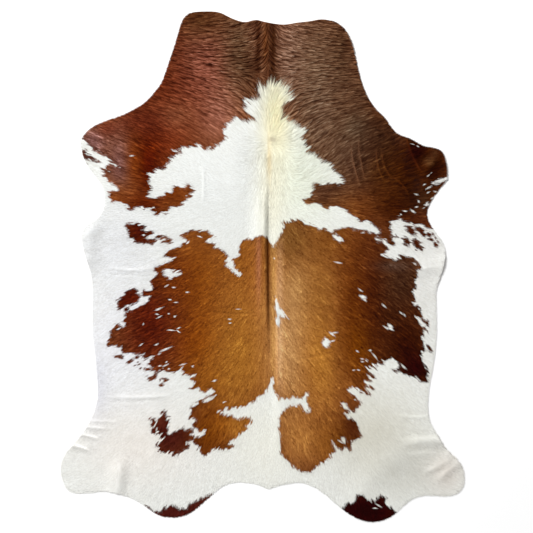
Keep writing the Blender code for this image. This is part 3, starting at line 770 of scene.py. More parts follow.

# %% [markdown]
# ## The tones of the coat
#
# Neither colour is one colour. The brown is golden along the back, red on the left shoulder
# and nearly black on the right foreleg, and the white is cream on the mane and the rump. The
# tones are laid on as a painter lays washes: each wash is a soft ellipse of one colour over
# what is there. Some washes also paint light: sheen and highlights where the hair catches it,
# and shade in creases. Colours are written as on a screen (0 to 255) and are made linear for the
# shader.

# %% Washes over the brown and over the white
BROWN_GROUND = (112, 62, 34)
BROWN_WASHES = (
    # x, y, reach across, reach along, colour, strength
    (0, 960, 420, 200, (110, 66, 46), 1.0),       # neck
    (70, -200, 330, 430, (150, 90, 40), 1.0),     # saddle
    (-365, 900, 42, 220, (92, 40, 22), 0.85),     # left rim
    (-250, 860, 70, 120, (140, 80, 62), 0.9),     # painted reddish highlight on the left
    (-425, 790, 45, 90, (92, 38, 20), 0.75),
    (-270, 1070, 90, 55, (80, 46, 25), 0.85),     # top left corner
    (-105, 945, 45, 150, (104, 72, 50), 0.9),     # dark brown left of the spine
    (-60, 820, 35, 90, (74, 44, 27), 0.6),
    (125, 910, 75, 170, (126, 90, 71), 0.9),      # painted greyish sheen right of the spine
    (235, 850, 60, 250, (110, 80, 58), 0.8),
    (345, 920, 45, 190, (80, 52, 34), 0.8),       # right rim
    (425, 740, 55, 110, (82, 53, 36), 0.8),
    (36, 950, 22, 160, (66, 34, 17), 0.75),       # dark band on the spine
    (-22, 960, 9, 150, (54, 24, 12), 0.8),        # the dark lines at its sides
    (48, 940, 8, 170, (46, 20, 9), 0.8),
    (9, 960, 10, 60, (124, 66, 28), 0.5),         # orange streak between them
    (-200, 650, 72, 95, (162, 104, 84), 0.88),    # left shoulder, painted highlight beside the cape
    (-310, 760, 70, 90, (122, 62, 44), 0.6),
    (-440, 590, 105, 140, (110, 42, 21), 0.9),    # left shoulder, deep red
    (-385, 655, 62, 50, (134, 82, 56), 0.6),
    (-475, 530, 40, 50, (90, 33, 15), 0.5),
    (-502, 440, 42, 92, (84, 22, 7), 0.88),
    (-540, 630, 75, 48, (96, 39, 24), 0.8),
    (-735, 545, 48, 50, (132, 90, 86), 0.85),     # left foreleg, painted greyish-mauve sheen
    (-672, 600, 34, 26, (112, 46, 26), 0.7),
    (-752, 480, 34, 26, (82, 50, 44), 0.85),
    # painted greyish-mauve sheen
    (-625, 440, 38, 100, (118, 78, 72), 0.85),
    (-556, 450, 22, 80, (124, 56, 18), 0.7),
    (-625, 300, 50, 40, (136, 68, 26), 0.7),
    (-515, 275, 55, 32, (96, 32, 10), 0.75),
    (-385, 310, 50, 50, (118, 54, 18), 0.8),
    (250, 640, 85, 190, (114, 84, 64), 0.9),      # right shoulder
    (350, 500, 70, 110, (98, 69, 50), 0.88),
    (275, 315, 60, 45, (82, 50, 34), 0.9),        # tongue beside the cape
    (345, 278, 50, 30, (88, 51, 29), 0.65),
    (430, 440, 70, 90, (94, 65, 48), 0.85),
    (430, 252, 70, 40, (126, 71, 33), 0.85),
    (525, 545, 75, 90, (56, 34, 23), 0.85),
    (405, 606, 42, 46, (94, 74, 56), 0.6),
    (520, 400, 50, 60, (84, 48, 22), 0.8),
    (540, 290, 55, 50, (80, 41, 18), 0.8),
    (630, 400, 80, 110, (60, 27, 11), 0.93),      # right foreleg
    (670, 500, 48, 42, (36, 12, 6), 0.9),
    (750, 440, 52, 66, (47, 17, 8), 0.9),
    # painted highlights on the fold of the foreleg's tip, two rows
    (724, 458, 20, 17, (100, 66, 38), 0.7),
    (748, 492, 12, 16, (88, 56, 32), 0.6),
    (770, 425, 14, 20, (66, 31, 14), 0.6),
    (600, 235, 60, 50, (56, 22, 9), 0.85),
    (672, 310, 45, 60, (50, 24, 14), 0.85),
    (700, 285, 20, 30, (88, 60, 38), 0.5),
    (690, 130, 90, 62, (76, 31, 17), 0.9),        # spots below it
    (-290, -60, 90, 150, (135, 71, 19), 0.85),
    (-285, -330, 85, 120, (131, 64, 14), 0.85),
    (-225, -500, 75, 80, (146, 84, 25), 0.75),
    (-490, -240, 105, 190, (83, 26, 14), 0.95),   # left flank
    (-400, -40, 60, 70, (108, 48, 16), 0.7),
    (-80, 40, 60, 110, (148, 86, 30), 0.7),       # back, left of the spine
    (-100, -390, 85, 190, (165, 106, 40), 0.9),
    (150, -120, 75, 120, (174, 126, 74), 0.85),   # back, right of the spine: golden hair with a painted highlight, two rows
    (112, -350, 66, 190, (202, 152, 98), 0.9),
    (125, 125, 85, 75, (117, 76, 36), 0.9),
    (285, 110, 60, 55, (120, 70, 28), 0.8),
    (262, -110, 60, 150, (144, 92, 40), 0.8),
    (262, -420, 65, 150, (174, 114, 46), 0.85),
    (400, -150, 60, 220, (98, 47, 16), 0.85),     # saddle, right side
    (490, -130, 55, 230, (73, 29, 13), 0.9),      # right flank
    (415, -360, 42, 90, (116, 60, 15), 0.75),
    # painted greyish sheen over the dark brown
    (610, -80, 75, 140, (60, 37, 25), 0.9),
    (570, 2, 50, 16, (100, 78, 66), 0.6),         # painted greyish sheen
    (615, -340, 85, 140, (54, 22, 12), 0.95),
    (670, -440, 65, 75, (40, 13, 8), 0.95),
    (-18, 20, 9, 120, (156, 96, 74), 0.6),        # sheen on the roll left of the crease
    (22, -20, 4, 190, (78, 34, 10), 0.75),        # painted shade in the crease on the spine
    (46, -120, 8, 300, (206, 154, 84), 0.7),      # painted highlight on the ridge right of it, two rows
    (74, -200, 12, 280, (210, 164, 122), 0.6),
    (170, -740, 60, 90, (184, 124, 62), 0.85),    # right hip
    (280, -770, 50, 80, (150, 92, 36), 0.8),
    (345, -740, 40, 70, (104, 56, 20), 0.8),
    (395, -690, 30, 60, (66, 28, 16), 0.75),
    (-410, -730, 110, 95, (70, 26, 21), 0.95),    # lower left patch
    (-240, -730, 50, 90, (104, 50, 13), 0.9),     # left hip
    (-180, -690, 50, 60, (146, 82, 24), 0.8),
    (-100, -690, 35, 50, (176, 114, 44), 0.7),
    (-540, 150, 60, 60, (74, 22, 10), 0.95),      # islands under the left shoulder
    (-590, -140, 45, 45, (78, 22, 11), 0.85),
    (-380, -1060, 220, 110, (74, 28, 23), 1.0),   # bottom edge
    (450, -1060, 220, 110, (38, 10, 9), 1.0),
)
WHITE_GROUND = (230, 231, 226)
WHITE_WASHES = (
    (-640, 100, 150, 150, (220, 221, 222), 0.9),  # left side
    (-640, -350, 150, 250, (232, 232, 235), 0.9),
    # painted bluish-grey shade near the left edge
    (-725, -540, 40, 110, (214, 214, 223), 0.7),
    (740, 0, 90, 350, (222, 221, 216), 0.9),      # right side
    (-230, 350, 190, 190, (226, 228, 225), 0.9),  # cape, left
    (180, 400, 110, 180, (230, 234, 217), 0.85),  # cape, right
    (128, 395, 55, 105, (219, 223, 204), 0.6),
    (40, 330, 45, 200, (240, 234, 204), 0.6),     # along the spine
    (60, 660, 45, 130, (244, 235, 190), 0.9),     # mane
    (45, 552, 16, 8, (188, 178, 152), 0.7),       # whorl
    (28, 470, 8, 70, (226, 202, 154), 0.6),       # tan streaks below it
    (24, 230, 3, 100, (196, 194, 180), 0.6),      # painted shade in the crease
    (20, -760, 130, 150, (234, 233, 221), 0.8),   # rump
    (-530, -780, 190, 120, (234, 228, 220), 0.85),# left thigh
    (480, -740, 150, 150, (207, 204, 190), 0.9),  # right thigh
    (650, -880, 120, 90, (201, 200, 191), 0.85),
    (800, -890, 60, 70, (214, 207, 198), 0.85),   # its lower end
)


def to_linear(colour):
    """Screen values from 0 to 255 as linear light."""
    value = np.asarray(colour, dtype=float) / 255
    return np.where(value <= 0.04045, value / 12.92, ((value + 0.055) / 1.055) ** 2.4)


def laid_over(points, ground, washes):
    """The values at each point once all washes are laid over the ground, one after another."""
    values = np.tile(np.array(ground, dtype=float), (len(points), 1))
    for x, y, across, along, tone, strength in washes:
        share = strength * soft_ellipse(points, x, y, across, along)[:, None]
        values = values * (1 - share) + np.array(tone, dtype=float) * share
    return values


def washed(points, ground, washes):
    """The colour at each point once all washes are laid on, in linear light."""
    return to_linear(laid_over(points, ground, washes))


back = washed(np.array([[0.1, -0.3]]), BROWN_GROUND, BROWN_WASHES)
print("linear brown on the back:", np.round(back, 3))

# %% [markdown]
# ## The leather
#
# The leather is about two millimetres thick, pale suede below and grown over with hair above.
# Triangles are laid inside the outline, closer together where the hide bends (a Delaunay
# triangulation joins any points). They are set on the heights from above, and a second layer
# 2 mm higher and a wall round the edge close the sheet. It stops a little inside the CAD
# outline, because the hair reaches past the cut edge.

# %% Triangles inside the outline
SKIN = 2.0 * MM
HAIR_REACH = 3.5 * MM
LEATHER_STEP = 15 * MM
FOLD_STEP = 6 * MM
EDGE_STEP = 8 * MM
BENDS = 0.5 * MM             # where the hide bends by more, the points stand close
ROW_APART = 0.866            # rows of a honeycomb, as a share of the step along them

leather_edge = spaced(outline + outline_inward * HAIR_REACH, EDGE_STEP)


def honeycomb(step):
    """Points of a honeycomb over the hide's box."""
    lines = np.arange(low.y, high.y, step * ROW_APART)
    across = np.arange(low.x, high.x, step)
    x, y = np.meshgrid(across, lines)
    x = x + (np.arange(len(lines)) % 2)[:, None] * step / 2
    return np.column_stack([x.ravel(), y.ravel()])


def bend(points):
    """How far the hide bends away from a flat facet as wide as the fold step."""
    side, end = np.array([FOLD_STEP, 0]), np.array([0, FOLD_STEP])
    around = lie(points + side) + lie(points - side) + lie(points + end) + lie(points - end)
    return np.abs(around - 4 * lie(points))


sparse = honeycomb(LEATHER_STEP)
dense = honeycomb(FOLD_STEP)
dense = dense[bend(dense) > BENDS]
near_dense = tree_of(dense)
apart = np.array([near_dense.find((x, y, 0))[2] for x, y in sparse])
mesh_points = np.vstack([sparse[apart > 0.8 * FOLD_STEP], dense])
mesh_points = mesh_points[from_edge(mesh_points) > HAIR_REACH + 0.9 * FOLD_STEP]
plan = np.vstack([leather_edge, mesh_points])
ring = list(range(len(leather_edge)))
ring_edges = [(a, (a + 1) % len(ring)) for a in ring]
laid = geometry.delaunay_2d_cdt([Vector(p) for p in plan], ring_edges, [ring], 1, 1e-7)
leather_faces = np.array([face for face in laid[2]])
print("leather triangles per side:", len(leather_faces), "extra points:", len(laid[0]) - len(plan))


# %% A closed sheet from them
def mesh_from_arrays(name, corners, triangles):
    """A mesh from corner and triangle arrays, built in one go."""
    mesh = bpy.data.meshes.new(name)
    mesh.vertices.add(len(corners))
    mesh.vertices.foreach_set("co", np.ascontiguousarray(corners, dtype=np.float32).ravel())
    mesh.loops.add(triangles.size)
    mesh.loops.foreach_set("vertex_index", np.ascontiguousarray(triangles, dtype=np.int32).ravel())
    mesh.polygons.add(len(triangles))
    mesh.polygons.foreach_set("loop_start", np.arange(0, triangles.size, 3, dtype=np.int32))
    mesh.update(calc_edges=True)
    return mesh


plan = np.array([tuple(point) for point in laid[0]])
count = len(plan)
below = np.maximum(lie(plan), 0)
corners = np.vstack([np.column_stack([plan, below]), np.column_stack([plan, lie(plan) + SKIN])])
here = np.array(ring)
ahead = np.roll(here, -1)
walls = np.vstack([
    np.column_stack([here, ahead, ahead + count]),
    np.column_stack([here, ahead + count, here + count]),
])
triangles = np.vstack([leather_faces + count, leather_faces[:, ::-1], walls])
leather_mesh = mesh_from_arrays("hide_leather", corners, triangles)
leather = bpy.data.objects.new("hide_leather", leather_mesh)
bpy.context.scene.collection.objects.link(leather)
print("leather triangles:", len(triangles))

# %% [markdown]
# ## UV layout
#
# A UV map places each face on a flat square, where its colours can be kept. The leather's
# hair side takes the left half and its suede side the right half. The wall at the cut edge gets a
# narrow band around the suede.

# %% UV map of the leather
UV_ROOM = 10 * MM            # kept free around the hide's box
UV_SIZE = np.array([0.48, 0.98])
UV_MARGIN = 0.01
WALL_BAND = 0.003


def set_uv(mesh, uv):
    """Gives every face corner its place on the UV square."""
    layer = mesh.uv_layers.new(name="OFBake")
    layer.data.foreach_set("uv", np.ascontiguousarray(uv, dtype=np.float32).ravel())


span = np.array([high.x - low.x, high.y - low.y]) + 2 * UV_ROOM
flat_uv = (plan - np.array([low.x, low.y]) + UV_ROOM) / span * UV_SIZE + UV_MARGIN
outset = flat_uv.copy()
ring_out = unit(-left_of(flat_uv[ahead] - flat_uv[np.roll(here, 1)]))
if turning(leather_edge) < 0:
    ring_out = -ring_out
outset[here] += ring_out * WALL_BAND
half = np.array([0.5, 0.0])
wall_uv = np.stack([
    np.vstack([flat_uv[walls[:len(ring), 0]], flat_uv[walls[:len(ring), 0]]]),
    np.vstack([flat_uv[ahead], outset[ahead]]),
    np.vstack([outset[ahead], outset[here]]),
], axis=1)
uv = np.vstack([flat_uv[leather_faces], flat_uv[leather_faces[:, ::-1]] + half, wall_uv + half])
set_uv(leather_mesh, uv)
print("UV from", uv.reshape(-1, 2).min(axis=0).round(3), "to", uv.reshape(-1, 2).max(axis=0).round(3))


# %% [markdown]
# The washes say how the coat should look, but a render also has shade between the hairs, which
# takes light away, and gloss, which adds a pale veil. So the colours are made a little lighter
# and the veil is taken off the brown. The skin below the hair is painted darker, as its shade.

# %% Colour of the coat on the leather
BROWN_GAIN = 1.19
WHITE_GAIN = 1.04
VEIL = 0.004
FOLD_LIGHT = 0.24                # painted light and shade of the folds: brown hair and skin are lighter by this power of e per mm of rise
SHADE_UNDER_HAIR = 0.2             # painted shade under the hair: the skin is darker than the coat by this power of e
DARKEST = 0.001


def coat_colour(points, depth):
    """Linear colour of the coat: brown where the depth is positive, and white elsewhere."""
    brown = np.maximum(washed(points, BROWN_GROUND, BROWN_WASHES) * BROWN_GAIN - VEIL, DARKEST)
    white = washed(points, WHITE_GROUND, WHITE_WASHES) * WHITE_GAIN
    return np.where((depth > 0)[:, None], brown, white)


def add_colour(mesh, name, colour):
    """Stores a colour on every corner point of a mesh."""
    layer = mesh.color_attributes.new(name, "FLOAT_COLOR", "POINT")
    rgba = np.column_stack([colour, np.ones(len(colour))])
    layer.data.foreach_set("color", np.ascontiguousarray(rgba, dtype=np.float32).ravel())


# painted light and shade of the folds, and painted shade under the hair
shading = np.exp(FOLD_LIGHT * read_grid(rise, plan) - SHADE_UNDER_HAIR)
under_hair = coat_colour(plan, brown_depth(plan)) * shading[:, None]
add_colour(leather_mesh, "Coat colour", np.vstack([under_hair, under_hair]))
print("brown share of the hide:", round(float((brown_depth(plan) > 0).mean()), 3))

# %% [markdown]
# ## Hair in the shader
#
# Three materials need hair: the leather's upper face, the brown locks and the white ones. What
# they share is a node group with named sockets. It takes the coat colour, darkens it towards
# the root, where other hair shades it, and adds fine streaks. The Principled BSDF stays in
# each material.

# %% Helpers for nodes
def add_node(tree, kind, values=None):
    """A new shader node, with some of its input sockets set by name or number."""
    node = tree.nodes.new("ShaderNode" + kind)
    for socket, value in (values or {}).items():
        node.inputs[socket].default_value = value
    return node


def add_math(tree, operation, values=None):
    """A new math node that does this operation."""
    node = add_node(tree, "Math", values)
    node.operation = operation
    return node


def wire(tree, *wires):
    """Links sockets. Each wire is a node and its output, then a node and its input."""
    for giver, output, taker, entry in wires:
        tree.links.new(giver.outputs[output], taker.inputs[entry])


print("node helpers:", add_node.__name__, add_math.__name__, wire.__name__)


# %% Node group for the coat
def new_group(name, inputs, outputs):
    """An empty shader node group with named sockets."""
    group = bpy.data.node_groups.new(name, "ShaderNodeTree")
    for label, kind, value in inputs:
        socket = group.interface.new_socket(name=label, in_out="INPUT", socket_type=kind)
        if value is not None:
            socket.default_value = value
    for label, kind in outputs:
        group.interface.new_socket(name=label, in_out="OUTPUT", socket_type=kind)
    group.nodes.new("NodeGroupInput").name = "In"
    group.nodes.new("NodeGroupOutput").name = "Out"
    return group


hair_group = new_group(
    "Hair of the coat",
    [
        ("Coat Colour", "NodeSocketColor", (0.5, 0.3, 0.2, 1.0)),
        ("Along Hair", "NodeSocketFloat", 1.0),
        ("Root Shade", "NodeSocketFloat", 0.6),
        ("Fibres", "NodeSocketVector", (400.0, 400.0, 400.0)),
        ("Streak Depth", "NodeSocketFloat", 0.2),
    ],
    [("Colour", "NodeSocketColor"), ("Roughness", "NodeSocketFloat"), ("Height", "NodeSocketFloat")],
)
given, result = hair_group.nodes["In"], hair_group.nodes["Out"]
streaks = add_node(hair_group, "TexNoise", {"Scale": 1.0, "Detail": 3.0})
root_to_tip = add_node(hair_group, "MapRange")
swing = add_math(hair_group, "SUBTRACT", {1: 0.5})
depth_of_streak = add_math(hair_group, "MULTIPLY_ADD", {2: 1.0})
shade = add_math(hair_group, "MULTIPLY")
shaded = add_node(hair_group, "VectorMath")
shaded.operation = "SCALE"
gloss = add_node(hair_group, "MapRange", {"To Min": 0.42, "To Max": 0.62})
wire(
    hair_group,
    (given, "Fibres", streaks, "Vector"),
    (given, "Along Hair", root_to_tip, "Value"),
    (given, "Root Shade", root_to_tip, "To Min"),
    (streaks, "Fac", swing, 0),
    (swing, 0, depth_of_streak, 0),
    (given, "Streak Depth", depth_of_streak, 1),
    (root_to_tip, "Result", shade, 0),
    (depth_of_streak, 0, shade, 1),
    (given, "Coat Colour", shaded, 0),
    (shade, 0, shaded, "Scale"),
    (streaks, "Fac", gloss, "Value"),
    (shaded, "Vector", result, "Colour"),
    (gloss, "Result", result, "Roughness"),
    (streaks, "Fac", result, "Height"),
)
print("sockets:", [item.name for item in hair_group.interface.items_tree])


# %% The coat's three materials
UV_CELLS = 215               # cells of a lock's UV layout along each side
FIBRES_ON_SKIN = (400, 400, 400)
FIBRES_ON_HAIR = (12 * UV_CELLS, 1.5 * UV_CELLS, 1)


def new_material(name, shader_values):
    """A material's tree and its Principled shader, with constants on the shader's sockets."""
    material = bpy.data.materials.new(name)
    material.use_nodes = True
    shader = material.node_tree.nodes["Principled BSDF"]
    for socket, value in shader_values.items():
        shader.inputs[socket].default_value = value
    return material, material.node_tree, shader


def coat_material(name, along, root_shade, streak_depth, shine):
    """Hair: the coat colour attribute through the group, into a softly glossy shader."""
    material, tree, shader = new_material(name, {"Specular IOR Level": shine})
    colour = add_node(tree, "Attribute")
    colour.attribute_name = "Coat colour"
    hair = tree.nodes.new("ShaderNodeGroup")
    hair.node_tree = hair_group
    hair.inputs["Root Shade"].default_value = root_shade
    hair.inputs["Streak Depth"].default_value = streak_depth
    place = add_node(tree, "TexCoord")
    fibres = add_node(tree, "Mapping", {"Scale": FIBRES_ON_HAIR if along else FIBRES_ON_SKIN})
    bump = add_node(tree, "Bump", {"Strength": 0.3, "Distance": 0.3 * MM})
    wire(
        tree,
        (colour, "Color", hair, "Coat Colour"),
        (place, "UV" if along else "Object", fibres, "Vector"),
        (fibres, "Vector", hair, "Fibres"),
        (hair, "Colour", shader, "Base Color"),
        (hair, "Roughness", shader, "Roughness"),
        (hair, "Height", bump, "Height"),
        (bump, "Normal", shader, "Normal"),
    )
    if along:
        place_on_hair = add_node(tree, "Attribute")
        place_on_hair.attribute_name = "Along hair"
        wire(tree, (place_on_hair, "Fac", hair, "Along Hair"))
    return material


skin_under_hair = coat_material("skin under the hair", False, 1.0, 0.3, 0.02)
brown_hair = coat_material("brown hair", True, 0.5, 0.5, 0.02)
white_hair = coat_material("white hair", True, 0.93, 0.12, 0.1)
print("materials:", skin_under_hair.name, "/", brown_hair.name, "/", white_hair.name)

# %% [markdown]
# The underside is suede: pale tan with soft blotches and a short nap, which a large and a fine
# noise give. It shows where the rug is turned over and as a thin line at the cut edge.

# %% Suede for the underside and the cut edge
suede, tree, shader = new_material(
    "suede underside",
    {"Specular IOR Level": 0.2, "Sheen Weight": 0.15, "Sheen Roughness": 0.5},
)
place = add_node(tree, "TexCoord")
blotches = add_node(tree, "TexNoise", {"Scale": 9.0, "Detail": 4.0})
nap = add_node(tree, "TexNoise", {"Scale": 600.0, "Detail": 4.0})
tones = add_node(tree, "ValToRGB")
for stop, position, tone in zip(tones.color_ramp.elements, (0.3, 0.7), ((190, 172, 146), (218, 205, 184))):
    stop.position = position
    stop.color = (*to_linear(tone), 1.0)
rough = add_node(tree, "MapRange", {"To Min": 0.8, "To Max": 0.98})
bump = add_node(tree, "Bump", {"Strength": 0.4, "Distance": 0.3 * MM})
wire(
    tree,
    (place, "Object", blotches, "Vector"),
    (place, "Object", nap, "Vector"),
    (blotches, "Fac", tones, "Fac"),
    (tones, "Color", shader, "Base Color"),
    (nap, "Fac", rough, "Value"),
    (rough, "Result", shader, "Roughness"),
    (nap, "Fac", bump, "Height"),
    (bump, "Normal", shader, "Normal"),
)

leather_mesh.materials.append(skin_under_hair)
leather_mesh.materials.append(suede)
slots = np.ones(len(triangles), dtype=np.int32)
slots[:len(leather_faces)] = 0
leather_mesh.polygons.foreach_set("material_index", slots)
print("suede faces:", int(slots.sum()))

# %% [markdown]
# ## The coat
#
# Real hair is far too fine for a mesh, so a lock of a few dozen hairs becomes one small closed
# spike of four triangles: flat at the root, with a low ridge, and lying down to a point. About
# two hundred thousand of them lie over each other like thatch. Blender's own hair would look
# finer, but it doesn't survive in an exported mesh.
#
# The neck's hair is long and stands in clumps, and the back's is short and sleek, so its
# length, clumping and lift come from washes too.

# %% Length, clumping and lift of the hair
PILE_GROUND = (15, 0.08, 1.3, 0.1, 0.25)
PILE_WASHES = (
    # x, y, reach across, reach along, (length mm, clumping, lift mm, relief mm, speckle), strength
    (0, 870, 420, 210, (25, 1.0, 3.0, 2.6, 0.24), 1.0),        # neck
    (190, 880, 120, 190, (25, 0.75, 3.0, 2.2, 0.16), 0.7),     # its right side
    (-480, 480, 120, 130, (16, 0.35, 2.2, 0.9, 0.40), 0.9),    # left shoulder
    (-700, 530, 70, 70, (15, 0.35, 2.0, 0.8, 0.5), 0.9),       # left foreleg
    (450, 440, 170, 150, (17, 0.35, 2.2, 0.9, 0.40), 0.9),     # right shoulder
    (-200, 380, 150, 150, (16, 0.05, 1.2, 0.1, 0.2), 0.9),     # cape, left
    (150, 430, 80, 150, (26, 0.45, 2.4, 0.6, 0.7), 0.9),       # cape, right
    (48, 690, 60, 100, (50, 0.8, 4.6, 1.3, 0.6), 0.95),        # mane
    (30, 400, 50, 130, (30, 0.4, 2.4, 0.5, 0.6), 0.8),         # along the spine of the cape
    (42, 550, 28, 22, (16, 0.15, 1.6, 0.1, 0.12), 0.95),       # whorl
    (40, -200, 260, 400, (9, 0.1, 1.2, 0.1, 0.22), 0.95),      # back
    (-500, -200, 120, 260, (15, 0.3, 1.8, 0.5, 0.42), 0.85),   # left flank
    (560, -200, 120, 300, (15, 0.3, 1.8, 0.5, 0.44), 0.85),    # right flank
    (30, -850, 400, 130, (14, 0.06, 1.2, 0.1, 0.2), 0.8),      # rump
)


def pile_at(points):
    """Length, clumping, lift, relief and speckle at each point, as a column each."""
    return laid_over(points, PILE_GROUND, PILE_WASHES).T


print("pile on the neck:", np.round(pile_at(np.array([[0.2, 0.9]]))[:, 0], 2))

# %% [markdown]
# Locks stand on a jittered honeycomb. The neck and the borders of the patches show the most,
# so they get a fine one, and the sleek stretches between a wide one.

# %% Roots of the locks
FINE_STEP = 3.25 * MM
WIDE_STEP = 5.0 * MM
BORDER = 13 * MM
NECK_ABOVE = 250 * MM
SHOWS_AT = 0.62              # what shows of a lock is centred at this share of its length


def jittered(step, jitter, seed):
    """Points of a honeycomb over the hide's box, each moved a little at random."""
    moves = np.random.default_rng(seed)
    points = honeycomb(step)
    return points + moves.uniform(-jitter, jitter, points.shape) * step


def way(points):
    """Unit vectors along the growth."""
    turn = flow_angle(points)
    return np.column_stack([np.cos(turn), np.sin(turn)])


def wants_fine(points):
    """Whether a lock rooted there shows near a border, or in the brown of the neck."""
    shown = points + way(points) * SHOWS_AT * (pile_at(points)[0] * MM)[:, None]
    depth = brown_depth(shown)
    on_neck = (depth > 0) & (shown[:, 1] > NECK_ABOVE + 40 * MM * np.sin(shown[:, 0] * 9))
    on_mane = np.hypot((shown[:, 0] - 0.05) / 0.08, (shown[:, 1] - 0.62) / 0.2) < 1
    return on_neck | on_mane | (np.abs(depth) < BORDER)


fine = jittered(FINE_STEP, 0.4, 11)
fine = fine[wants_fine(fine)]
wide = jittered(WIDE_STEP, 0.4, 12)
wide = wide[~wants_fine(wide)]
roots = np.vstack([fine, wide])
step_here = np.repeat([FINE_STEP, WIDE_STEP], [len(fine), len(wide)])
root_inside = from_edge(roots)
kept = root_inside > HAIR_REACH + 0.8 * MM
roots, step_here, root_inside = roots[kept], step_here[kept], root_inside[kept]
length, clumping, lift, relief, speckle = pile_at(roots)
print("locks:", len(roots), "of them fine:", int((step_here == FINE_STEP).sum()))

# %% [markdown]
# Hair doesn't lie strand by strand. It gathers in clumps that are several times longer than
# wide and point along the growth. Each lock joins the clump whose middle is nearest, when
# distance across the growth counts nearly five times as much as distance along it. A clump shares
# one tint, one lift and one small turn, its tips draw together, and like a shingle it is
# rounded across and rises towards its tip, over the start of the next one.

# %% Clumps
CLUMP_STEP = 17 * MM
ACROSS_COUNTS = 4.8
CLUMP_WIDE = 3.9 * MM
CLUMP_LONG = 18 * MM
CLUMPS_TRIED = 12
dice = np.random.default_rng(23)
clump_at = jittered(CLUMP_STEP, 0.5, 17)
clump_tree = tree_of(clump_at)
candidates = np.array([
    [item[1] for item in clump_tree.find_n((x, y, 0), CLUMPS_TRIED)] for x, y in roots
])
grain = flow_angle(roots)
forward = way(roots)
sideways = left_of(forward)
offset = clump_at[candidates] - roots[:, None, :]
off_along = (offset * forward[:, None, :]).sum(axis=2)
off_across = (offset * sideways[:, None, :]).sum(axis=2)
best = np.argmin(off_along ** 2 + (ACROSS_COUNTS * off_across) ** 2, axis=1)
own = np.arange(len(roots))
clump = candidates[own, best]
to_middle = off_across[own, best]
beside = np.clip(np.abs(to_middle) / CLUMP_WIDE, 0, 1)
up_clump = np.clip(-off_along[own, best] / CLUMP_LONG, -1, 1)
print("clumps:", len(np.unique(clump)))

# %% [markdown]
# At a border, some white locks reach over into the brown. They are longer and thinner than the
# rest, and give the border its fine white points. Tips that would lie too far outside the cut
# edge are drawn back towards their roots.

# %% Direction and tips of the locks
CROSSES_WITHIN = 9 * MM      # of the border
CROSSES_SHARE = 0.5
CROSSING_LENGTH = 1.45
CROSSING_WIDTH = 0.6
LONG_HAIR = 38 * MM          # longer locks are a quarter thinner
TIPS_GATHER = 0.45           # how far tips draw to the middle of their clump
clump_turn = dice.normal(0, 1, len(clump_at))
clump_lift = dice.normal(0, 1, len(clump_at))
clump_tint = dice.normal(0, 1, len(clump_at))
own_turn = np.radians(5) * dice.normal(0, 1, len(roots))
angle = grain + (np.radians(3 + 4 * clumping) * clump_turn[clump] + own_turn)
length = length * MM * dice.uniform(0.75, 1.15, len(roots))
width = step_here * dice.uniform(0.65, 1.0, len(roots))
forward = np.column_stack([np.cos(angle), np.sin(angle)])
first_depth = brown_depth(roots + forward * SHOWS_AT * length[:, None])
tip_depth = brown_depth(roots + forward * 1.2 * length[:, None])
crossing = (first_depth < 0) & (first_depth > -CROSSES_WITHIN) & (tip_depth > 0)
crossing &= dice.random(len(roots)) < CROSSES_SHARE
length = np.where(crossing, CROSSING_LENGTH * length, length)
width = np.where(crossing, CROSSING_WIDTH * width, width) * (1 - 0.25 * (length > LONG_HAIR))
tips = roots + forward * length[:, None]
tips += left_of(forward) * (clumping * to_middle)[:, None] * TIPS_GATHER
tip_out = -from_edge(tips)
too_far = np.clip((tip_out - 1.0 * MM) / np.maximum(tip_out + root_inside, 1 * MM), 0, 0.85)
tips = tips - (tips - roots) * too_far[:, None]
print("white locks that cross into the brown:", int(crossing.sum()))

# %% [markdown]
# A lock covers the roots of those below it, so what shows of it is its outer half. The brown
# or white of each lock is therefore decided at about three fifths of its length, which keeps the
# borders where the photograph has them, and ragged along the growth. Shade is painted where the
# coat parts between two clumps, and in brown hair that painted shade is also redder; a clump is
# painted lighter towards its tip, where it rises over the next one, and darker at its start.
# Each lock's tint adds up what it shares with its clump, a speckle of its own, a soft mottle over
# a few centimetres, and the painted light and shade of the fold it lies on. White hair shows only
# a little of each.

# %% Colour of each lock
# painted shade where the coat parts between two clumps
PARTING_SHADE = 2.0
# painted light towards a clump's tip and painted shade at its start
SHINGLE_LIGHT = 0.6
MOTTLE_BLUR = 3.5            # cells of the 5 mm grid
RAGGED_CLUMP = 3.4           # mm that a border wanders by from clump to clump
RAGGED_LOCK = 1.4            # and from lock to lock
RIM_SHADE = 0.22             # brown is darker at the border with the white
RIM_REACH = 7 * MM
mottle = blur(dice.normal(0, 1, lie_grid.shape), MOTTLE_BLUR)
mottle = to_cells(mottle / mottle.std())
shows_at = roots + forward * (SHOWS_AT * length / np.where(crossing, CROSSING_LENGTH, 1))[:, None]
ragged_clump = RAGGED_CLUMP * dice.normal(0, 1, len(clump_at))[clump]
ragged = ragged_clump + RAGGED_LOCK * dice.normal(0, 1, len(roots))
depth = brown_depth(shows_at) + ragged * MM
colour = coat_colour(shows_at, depth)
is_brown = depth > 0
clump_shading = clumping * (SHINGLE_LIGHT * up_clump - PARTING_SHADE * (beside ** 1.5 - 0.3))
rim_shade = RIM_SHADE * np.exp(-np.abs(depth) / RIM_REACH)
own_tint = speckle * (0.75 - np.abs(dice.normal(0, 1, len(roots))))
shared_tint = clump_tint[clump] * (0.05 + 0.6 * speckle) + 0.07 * read_grid(mottle, shows_at)
